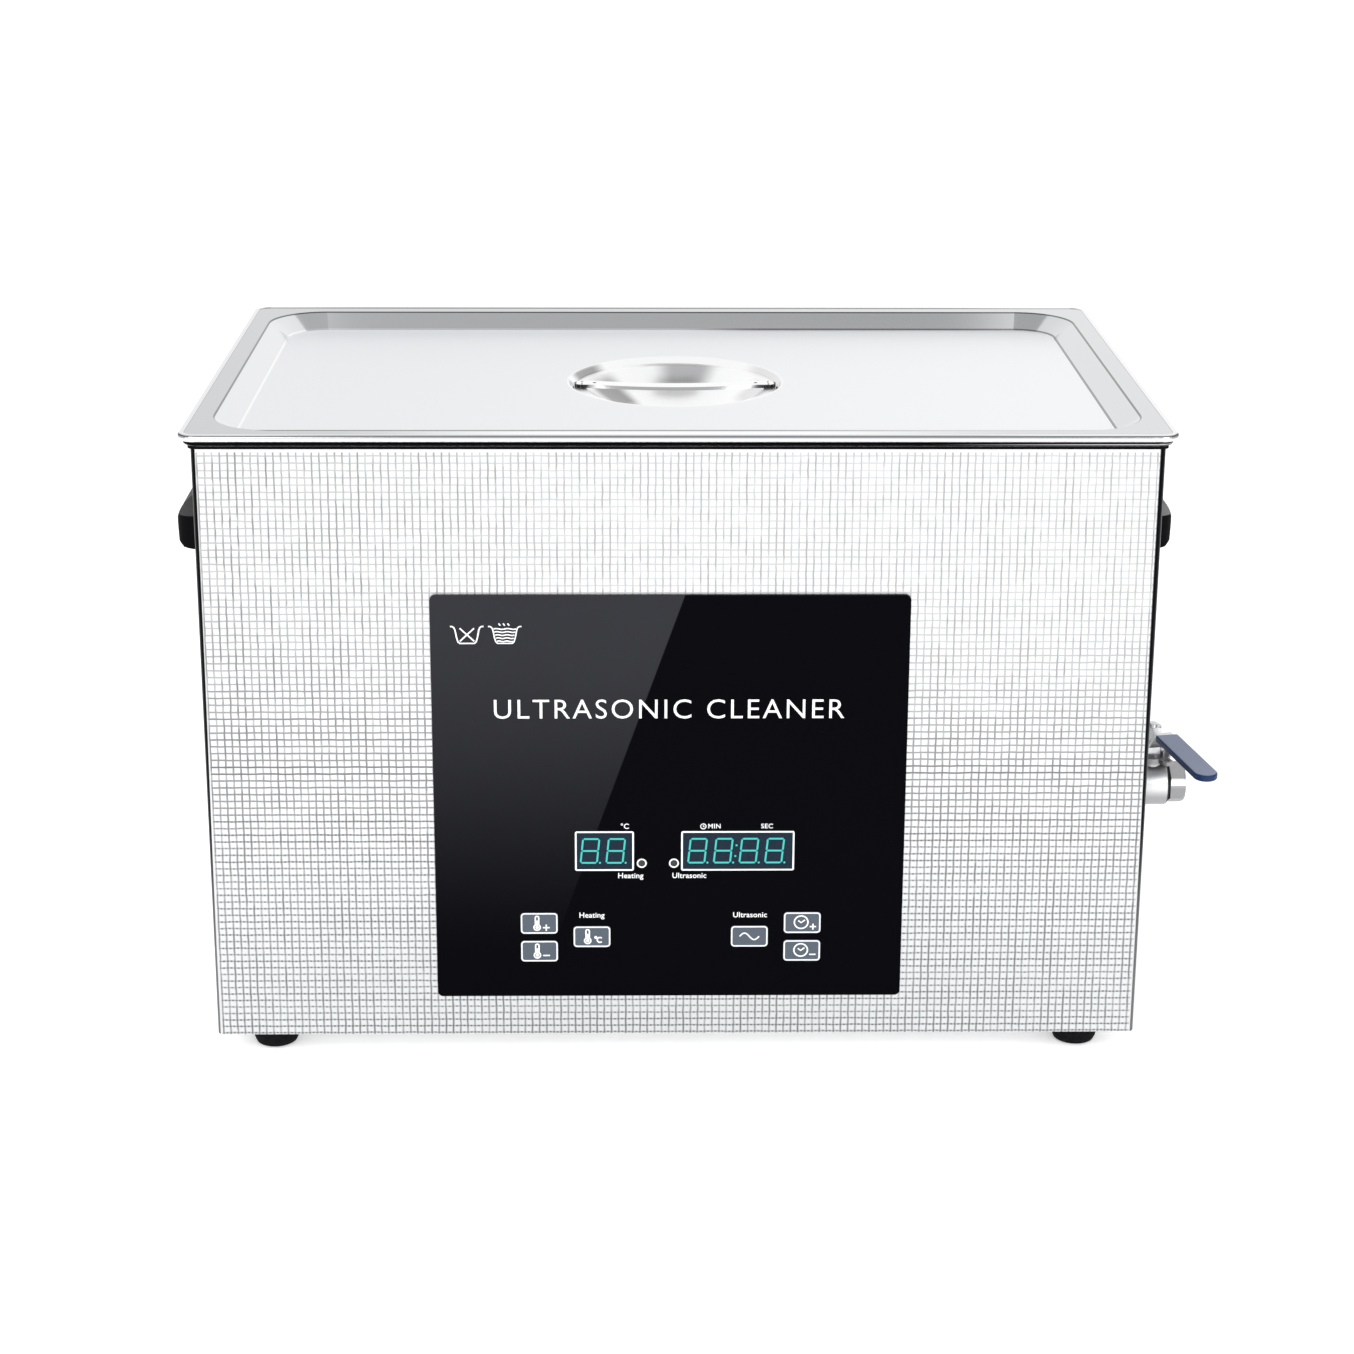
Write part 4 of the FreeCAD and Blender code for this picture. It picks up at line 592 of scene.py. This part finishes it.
OWN_LOOKS = {
    "lid": lid_steel(),
    "lid_handle": lid_handle_steel(),
    "tank": tank_steel(),
    # painted light on the handles' domes, brighter on the right than on the left
    "handle_right": handle_plastic("right", 0.17),
    "handle_left": handle_plastic("left", 0.055),
    "lever_grip": dipped_vinyl(),
    "valve_end_cap": cap_steel(),
    "valve_body": body_steel(),
}
MATERIALS = {
    "linen_steel": linen_steel(),
    "plain_steel": satin_steel("plain_steel", (0.74, 0.745, 0.75), 0.30, (0.06, 1, 1)),
    "polished_steel": polished_steel("polished_steel", STEEL, 0.11),
    "valve_steel": cast_steel("valve_steel", (0.40, 0.40, 0.40), 0.30),
    "zinc_steel": satin_steel("zinc_steel", (0.66, 0.67, 0.68), 0.28, (1, 1, 0.3)),
    "black_seal": matt_black("black_seal", 0.003),
    "black_rubber": matt_black("black_rubber", 0.005),
    "black_plastic": moulded("black_plastic", (0.016, 0.016, 0.017), 0.42, 1100.0, 0.06),
    "panel_black": gloss_panel(),
    "display_navy": display_glass(),
    "lamp_clear": moulded("lamp_clear", (0.012, 0.016, 0.016), 0.15, 600.0, 0.02),
    "key_slate": moulded("key_slate", (0.050, 0.066, 0.088), 0.38, 1800.0, 0.03, 1.25),
    "board_green": fibre_board(),
    "switch_black": moulded("switch_black", (0.012, 0.012, 0.013), 0.30, 1500.0, 0.03),
    "alloy": satin_steel("alloy", (0.75, 0.76, 0.77), 0.32, (1, 0.1, 1)),
    "ceramic_ring": moulded("ceramic_ring", (0.58, 0.54, 0.46), 0.45, 700.0, 0.02, 1.1),
    "copper_tag": satin_steel("copper_tag", (0.80, 0.45, 0.28), 0.30, (0.2, 1, 1)),
    "heater_orange": moulded("heater_orange", (0.60, 0.14, 0.03), 0.6, 500.0, 0.1, 1.15),
    "ptfe_white": moulded("ptfe_white", (0.80, 0.80, 0.78), 0.5, 500.0, 0.02, 1.05),
    "fuse_glass": moulded("fuse_glass", (0.62, 0.68, 0.68), 0.08, 300.0, 0.01, 1.05),
    "capacitor_black": moulded("capacitor_black", (0.02, 0.02, 0.035), 0.25, 600.0, 0.02),
    "transformer_dark": moulded("transformer_dark", (0.05, 0.04, 0.03), 0.6, 600.0, 0.05),
}
WHITE_INK = ink("white_ink", (0.83, 0.84, 0.85))
FRAME_INK = ink("frame_ink", (0.74, 0.76, 0.79))
TEAL = glow("lit_segment", (0.018, 0.29, 0.26), 0.80)

SMOOTH_UP_TO = math.radians(28)


def dress_cad_nodes():
    """Every CAD node gets its own look or the material of its slot, and soft shading across shallow
    angles.
    """
    for name, obj in NODES.items():
        obj.data.materials.clear()
        obj.data.materials.append(OWN_LOOKS.get(name) or MATERIALS[SLOT_OF[name]])
        obj.data.shade_smooth()
        edges = obj.modifiers.new("split_at_edges", "EDGE_SPLIT")
        edges.split_angle = SMOOTH_UP_TO


# ---------------------------------------------------------------- flat shapes, in millimetres
def arc(cx, cy, radius, start, end, steps):
    return [(cx + radius * math.cos(math.radians(start + (end - start) * k / steps)),
             cy + radius * math.sin(math.radians(start + (end - start) * k / steps)))
            for k in range(steps + 1)]


def ring(cx, cy, radius, steps=32):
    return arc(cx, cy, radius, 0, 360 - 360 / steps, steps - 1), True


def rounded_box(width, height, radius, steps=6):
    w, h = width / 2 - radius, height / 2 - radius
    points = []
    for cx, cy, start in ((w, h, 0), (-w, h, 90), (-w, -h, 180), (w, -h, 270)):
        points += arc(cx, cy, radius, start, start + 90, steps)
    return points, True


def wave(left, right, level, height, cycles):
    steps = 24
    return [(left + (right - left) * k / steps,
             level + height * math.sin(2 * math.pi * cycles * k / steps))
            for k in range(steps + 1)], False


def basin(cx, cy):
    """Outline of a wash basin with turned-out lips, 18 mm wide."""
    half = [(9.0, 4.9), (8.0, 4.9), (7.0, 4.3), (6.4, 2.8), (5.6, -1.5), (4.9, -3.8), (4.0, -4.7)]
    outline = [(cx - x, cy + y) for x, y in half] + [(cx + x, cy + y) for x, y in reversed(half)]
    return outline, False


def minus(cx, cy, size):
    return [([(cx - size, cy), (cx + size, cy)], False)]


def plus(cx, cy, size):
    return minus(cx, cy, size) + [([(cx, cy - size), (cx, cy + size)], False)]


def thermometer(cx, cy):
    """A stem with round top over a bulb."""
    stem = arc(cx, cy + 3.2, 0.95, 0, 180, 8)
    bulb = arc(cx, cy - 2.6, 1.75, 122, 418, 20)
    mercury = ([(cx, cy - 2.6), (cx, cy + 1.6)], False)
    return [(stem + bulb, True), mercury, ring(cx, cy - 2.6, 0.6, 12)]


def clock(cx, cy):
    hands = [(cx - 1.6, cy + 1.0), (cx, cy - 0.3), (cx + 2.1, cy + 1.4)]
    return [ring(cx, cy, 3.8), (hands, False)]


# ---------------------------------------------------------------- prints
INK_LIFT = 0.12        # how much a printed line is flattened
LETTER_LIFT = 0.03     # how far the lettering stands out, in millimetres
FONT_CAP = 0.70        # capital height of the built-in font, as a share of its size


def link(obj, body, material):
    bpy.context.scene.collection.objects.link(obj)
    obj.data.materials.append(material)
    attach(obj, body)


def front_of(name):
    """A node's middle on its front face, and its width and height in millimetres."""
    low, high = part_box(name)
    middle = Vector(((low.x + high.x) / 2, low.y, (low.z + high.z) / 2))
    return middle, (high.x - low.x) / MM, (high.z - low.z) / MM


def strokes(name, lines, width, centre, body, material):
    """Flat printed lines. Each line is (points, closed), in millimetres right and up."""
    curve = bpy.data.curves.new(name, "CURVE")
    curve.dimensions = "3D"
    curve.bevel_depth = width * MM / 2
    curve.bevel_resolution = 2
    curve.use_fill_caps = True
    for points, closed in lines:
        spline = curve.splines.new("POLY")
        spline.points.add(len(points) - 1)
        for spline_point, (right, up) in zip(spline.points, points):
            spline_point.co = (right * MM, 0, up * MM, 1)
        spline.use_cyclic_u = closed
    obj = bpy.data.objects.new(name, curve)
    obj.location = centre
    obj.scale = (1, INK_LIFT, 1)
    link(obj, body, material)


def on_panel(right, up):
    return Vector((PANEL_X + right * MM, PANEL_FACE, PANEL_Z + up * MM))


def panel_lines(name, lines, width):
    strokes(name, lines, width, on_panel(0, 0), MAIN_BODY, WHITE_INK)


def text(name, words, cap_height, place, spacing, weight=0.012):
    """A line of plain lettering, centred at a (right, up) place on the panel's face."""
    curve = bpy.data.curves.new(name, "FONT")
    curve.body = words
    curve.align_x, curve.align_y = "CENTER", "CENTER"
    curve.size = cap_height * MM / FONT_CAP
    curve.space_character = spacing
    curve.extrude = LETTER_LIFT * MM
    curve.offset = weight * curve.size
    curve.resolution_u = 4
    obj = bpy.data.objects.new(name, curve)
    obj.location = on_panel(*place)
    obj.rotation_euler = (math.radians(90), 0, 0)
    link(obj, MAIN_BODY, WHITE_INK)


LAMP_LABEL_UP, KEY_LABEL_UP, UNIT_LABEL_UP = 72.9, 49.1, 102.3
LABELS = [             # name, words, capital height, (right, up), spacing
    ("print_heating_lamp", "Heating", 3.1, (-21.6, LAMP_LABEL_UP), 1.03),
    ("print_ultrasonic_lamp", "Ultrasonic", 3.1, (10.9, LAMP_LABEL_UP), 1.03),
    ("print_heating_key", "Heating", 3.1, (-43.2, KEY_LABEL_UP), 1.03),
    ("print_ultrasonic_key", "Ultrasonic", 3.1, (44.8, KEY_LABEL_UP), 1.03),
    ("print_degrees", "°C", 3.0, (-24.8, UNIT_LABEL_UP), 1.03),
    ("print_minutes", "MIN", 2.7, (24.6, UNIT_LABEL_UP), 1.08),
    ("print_seconds", "SEC", 2.7, (53.6, UNIT_LABEL_UP), 1.08),
]
BASIN_LEFT, BASIN_RIGHT, BASIN_UP = -109.6, -89.2, 213.6
LAMPS, LAMP_UP, LAMP_RING = (-15.4, 2.4), 80.4, 2.35
CLOCK_AT = 18.5
ICON_LINE, WATER_LINE, FINE_LINE, WINDOW_LINE, KEY_FRAME_LINE = 0.85, 0.75, 0.5, 1.0, 0.9


def crossed_basin():
    """An empty basin, crossed out."""
    reach, over, under = 3.9, 3.9, 3.5
    crosses = [([(BASIN_LEFT - side * reach, BASIN_UP + over),
                 (BASIN_LEFT + side * reach, BASIN_UP - under)], False) for side in (1, -1)]
    return [basin(BASIN_LEFT, BASIN_UP)] + crosses


def full_basin():
    """A basin of rippling water with three drops over it."""
    lines = [basin(BASIN_RIGHT, BASIN_UP)]
    for row in range(5):
        reach = 6.1 - row * 0.45
        level = BASIN_UP + 3.5 - row * 1.75
        lines.append(wave(BASIN_RIGHT - reach, BASIN_RIGHT + reach, level, 0.22, 2))
    drops = BASIN_UP + 5.4
    return lines + [([(BASIN_RIGHT + x, drops), (BASIN_RIGHT + x - 0.9, drops + 1.2)], False)
                    for x in (-2.4, 0.0, 2.4)]


def print_panel():
    """The lettering, icons and window frames on the panel."""
    panel_lines("print_basin_crossed", crossed_basin(), ICON_LINE)
    panel_lines("print_basin_full", full_basin(), WATER_LINE)
    text("print_title", "ULTRASONIC CLEANER", 11.2, (-0.9, 170.5), 1.16, -0.004)
    for label in LABELS:
        text(*label)
    hands = [(CLOCK_AT, UNIT_LABEL_UP + 0.8), (CLOCK_AT, UNIT_LABEL_UP - 0.1),
             (CLOCK_AT + 0.7, UNIT_LABEL_UP - 0.3)]
    panel_lines("print_clock", [ring(CLOCK_AT, UNIT_LABEL_UP, 1.5, 16), (hands, False)], FINE_LINE)
    for name in ("temp_display", "time_display"):
        centre, width, height = front_of(name)
        centre.y = PANEL_FACE
        window = rounded_box(width + WINDOW_LINE, height + WINDOW_LINE, 0.6, 3)
        strokes("print_frame_" + name, [window], WINDOW_LINE, centre,
                MAIN_BODY, WHITE_INK)
    rings = [ring(across, LAMP_UP, LAMP_RING) for across in LAMPS]
    panel_lines("print_lamp_rings", rings, ICON_LINE)


# ---------------------------------------------------------------- digits
DIGIT_W, DIGIT_H, DIGIT_PITCH = 10.0, 15.2, 14.2
SEGMENT_W, SEGMENT_GAP = 1.0, 0.20
SLANT = 0.10
DOT_RADIUS, POINT_GAP, COLON_UP = 0.6, 1.7, 3.2
PLATE_THICK, PLATE_LIFT = 0.1, 0.08                # thickness, and how far in front of the window


def segment(start, end):
    """A pointed bar between two corners of the digit."""
    (x0, y0), (x1, y1) = start, end
    length = math.hypot(x1 - x0, y1 - y0)
    along = Vector(((x1 - x0) / length, (y1 - y0) / length))
    side = Vector((-along.y, along.x)) * SEGMENT_W / 2
    a = Vector(start) + along * SEGMENT_GAP
    b = Vector(end) - along * SEGMENT_GAP
    shoulder = along * SEGMENT_W / 2
    return [a, a + shoulder - side, b - shoulder - side,
            b, b - shoulder + side, a + shoulder + side]


def dot(cx, cy):
    return [Vector((cx + DOT_RADIUS * math.cos(k * math.pi / 6),
                    cy + DOT_RADIUS * math.sin(k * math.pi / 6))) for k in range(12)]


def digit(left, low):
    """The seven bars of one digit and its point, slanted."""
    w, h = DIGIT_W - SEGMENT_W, DIGIT_H - SEGMENT_W
    corners = {(i, j): (i * w, j * h / 2) for i in (0, 1) for j in (0, 1, 2)}
    bars = [((0, 0), (1, 0)), ((0, 1), (1, 1)), ((0, 2), (1, 2)), ((0, 0), (0, 1)),
            ((0, 1), (0, 2)), ((1, 0), (1, 1)), ((1, 1), (1, 2))]
    shapes = [segment(corners[a], corners[b]) for a, b in bars]
    shapes.append(dot(w + POINT_GAP, 0.0))
    return [[(left + x + y * SLANT, low + y) for x, y in shape] for shape in shapes]


def lit_plates(name, outlines, centre):
    """Thin closed plates from flat outlines, in millimetres right and up of a point."""
    vertices, faces = [], []
    for outline in outlines:
        count, base = len(outline), len(vertices)
        for back in (0, PLATE_THICK):
            vertices += [(x * MM, back * MM, y * MM) for x, y in outline]
        faces.append([base + k for k in range(count)])
        faces.append([base + count + k for k in reversed(range(count))])
        for k in range(count):
            following = (k + 1) % count
            faces.append([base + k, base + count + k, base + count + following, base + following])
    mesh = bpy.data.meshes.new(name)
    mesh.from_pydata(vertices, [], faces)
    mesh.validate()
    mesh.update()
    obj = bpy.data.objects.new(name, mesh)
    obj.location = centre
    link(obj, MAIN_BODY, TEAL)


def light_displays():
    """Every bar of every digit is lit, with a colon on the time display."""
    for name, count in (("temp_display", 2), ("time_display", 4)):
        first = -(count * DIGIT_PITCH) / 2 + 1.0
        outlines = []
        for number in range(count):
            outlines += digit(first + number * DIGIT_PITCH, -DIGIT_H / 2 + SEGMENT_W / 2)
        if count == 4:
            outlines += [[(x, y) for x, y in dot(-1.0 + up * SLANT, up)]
                         for up in (-COLON_UP, COLON_UP)]
        centre = front_of(name)[0]
        centre.y -= PLATE_LIFT * MM
        lit_plates("digits_" + name, outlines, centre)


# ---------------------------------------------------------------- keys
def key_signs(name):
    """The sign on each key, in millimetres from the key's centre."""
    if name == "ultrasonic_key":
        return [wave(-5.4, 5.4, 0.0, 2.0, 1)]
    if name == "heater_key":
        degrees = [ring(2.1, -0.4, 0.5, 10), (arc(4.4, -1.9, 1.5, 45, 315, 14), False)]
        return thermometer(-2.4, 0.2) + degrees
    sign = plus if "_up_" in name else minus
    if name.startswith("temp"):
        return thermometer(-1.2, 0.2) + sign(3.9, -2.6, 1.9)
    return clock(-0.6, 0.3) + sign(6.0, -2.4, 1.8)


def dress_keys():
    """Each key's frame and sign ride with the key."""
    for body, members in frame["record"]["behaviour"]["bodies"].items():
        for name in members:
            if not name.endswith("_key"):
                continue
            centre, width, height = front_of(name)
            strokes("frame_" + name, [rounded_box(width - 1.0, height - 1.0, 1.6)],
                    KEY_FRAME_LINE, centre, body, FRAME_INK)
            strokes("sign_" + name, key_signs(name), ICON_LINE, centre, body,
                    WHITE_INK)


# ---------------------------------------------------------------- camera, stage and light
CAMERA_AT = Vector((-0.0257, -1.5607, 0.728))
CAMERA_PITCH, CAMERA_YAW, CAMERA_ROLL = 16.78, 1.0, 0.26      # down, right, anticlockwise
CAMERA_LENS, CAMERA_SENSOR, CAMERA_SHIFT = 73.0, 36.0, -0.10

# name, place and power in watts
LIGHTS = (("key_light", (-1.3, -2.2, 2.2), 40), ("fill_light", (1.6, -2.4, 1.4), 22))
LIGHT_TARGET, LIGHT_SIZE = (0, 0, 0.2), (1.6, 1.2)
FLOOR_SIZE, FLOOR_GLOW = (12.0, 12.0), 0.42
SIDE_CARD_SIZE, SIDE_CARD_X, SIDE_CARD_GLOW = (2.6, 1.6), 1.7, 0.55
OVERHEAD_SIZE, OVERHEAD_AT, OVERHEAD_GLOW = (1.0, 0.9), (0, 0.6, 2.2), 0.50


def make_camera():
    data = bpy.data.cameras.new("camera")
    data.lens, data.sensor_width = CAMERA_LENS, CAMERA_SENSOR
    data.shift_y = CAMERA_SHIFT
    camera = bpy.data.objects.new("camera", data)
    bpy.context.scene.collection.objects.link(camera)
    turn = Matrix.Rotation(math.radians(-CAMERA_YAW), 4, "Z")
    tip = Matrix.Rotation(math.radians(90 - CAMERA_PITCH), 4, "X")
    roll = Matrix.Rotation(math.radians(CAMERA_ROLL), 4, "Z")
    camera.matrix_world = Matrix.Translation(CAMERA_AT) @ turn @ tip @ roll
    bpy.context.scene.camera = camera


def flat_card(name, size, place, look, material):
    """A rectangle facing a direction."""
    x, y = size[0] / 2, size[1] / 2
    mesh = bpy.data.meshes.new(name)
    mesh.from_pydata([(-x, -y, 0), (x, -y, 0), (x, y, 0), (-x, y, 0)], [], [(0, 1, 2, 3)])
    obj = bpy.data.objects.new(name, mesh)
    mesh.materials.append(material)
    bpy.context.scene.collection.objects.link(obj)
    obj.location = place
    obj.rotation_euler = Vector(look).to_track_quat("Z", "Y").to_euler()
    return obj


def floor_material():
    """Pale floor that glows a little, so it stays near white round the object."""
    paint = Paint("floor_pale", (0.90, 0.90, 0.90), 0.0, 0.8, Specular_IOR_Level=0.2)
    cloud = paint.ramp(paint.noise(2.0), 0.3, 0.7)
    paint.drive("Emission Color", paint.tint(cloud, (0.885, 0.885, 0.89)))
    paint.set("Emission Strength", FLOOR_GLOW)
    return paint.material


def card_paint(name, strength):
    """A card that only glows, white, and is dimmer than the room where the strength is under 1."""
    paint = Paint(name, (0.0, 0.0, 0.0), 0.0, 0.9, Specular_IOR_Level=0.0)
    paint.set("Emission Color", (1, 1, 1, 1))
    paint.set("Emission Strength", strength)
    return paint


def overhead_material():
    """Dim in its middle, as bright as the room at its ends."""
    paint = card_paint("card_grey", 1.0)
    half = OVERHEAD_SIZE[0] / 2
    along = paint.size(paint.at()["X"])
    paint.drive("Emission Strength", paint.ramp(along, half * 0.8, half, OVERHEAD_GLOW, 1.0))
    return paint.material


def soft_light(name, place, power):
    data = bpy.data.lights.new(name, "AREA")
    data.shape = "RECTANGLE"
    data.size, data.size_y = LIGHT_SIZE
    data.energy = power
    light = bpy.data.objects.new(name, data)
    bpy.context.scene.collection.objects.link(light)
    light.location = place
    aim = Vector(LIGHT_TARGET) - Vector(place)
    light.rotation_euler = aim.to_track_quat("-Z", "Y").to_euler()


def make_world():
    """A white studio, a little greyer overhead."""
    world = bpy.data.worlds.new("studio")
    world.use_nodes = True
    tree = world.node_tree
    background = tree.nodes["Background"]
    place = tree.nodes.new("ShaderNodeTexCoord").outputs["Generated"]
    parts = tree.nodes.new("ShaderNodeSeparateXYZ")
    tree.links.new(place, parts.inputs[0])
    ramp = tree.nodes.new("ShaderNodeValToRGB")
    tree.links.new(parts.outputs["Z"], ramp.inputs[0])
    level, overhead = ramp.color_ramp.elements
    level.position, level.color = 0.45, (1, 1, 1, 1)
    overhead.position, overhead.color = 0.9, (0.93, 0.935, 0.94, 1)
    tree.links.new(ramp.outputs["Color"], background.inputs["Color"])
    background.inputs["Strength"].default_value = 1.0
    bpy.context.scene.world = world


def make_stage():
    """Floor, lights, and cards that only reflections see."""
    flat_card("floor", FLOOR_SIZE, (0, 0, 0), (0, 0, 1), floor_material())
    dim = card_paint("card_dim", SIDE_CARD_GLOW).material
    cards = [flat_card("side_card_" + name, SIDE_CARD_SIZE, (side * SIDE_CARD_X, 0.5, 0.75),
                       (-side, 0, 0), dim)
             for name, side in (("left", -1), ("right", 1))]
    cards.append(flat_card("overhead_card", OVERHEAD_SIZE, OVERHEAD_AT, (0, 0, -1),
                           overhead_material()))
    for card in cards:
        card.visible_camera = False
        card.visible_diffuse = False
        card.visible_shadow = False
    make_world()
    for light in LIGHTS:
        soft_light(*light)
    bpy.context.scene.view_settings.view_transform = "Standard"


make_camera()
dress_cad_nodes()
print_panel()
light_displays()
dress_keys()
make_stage()
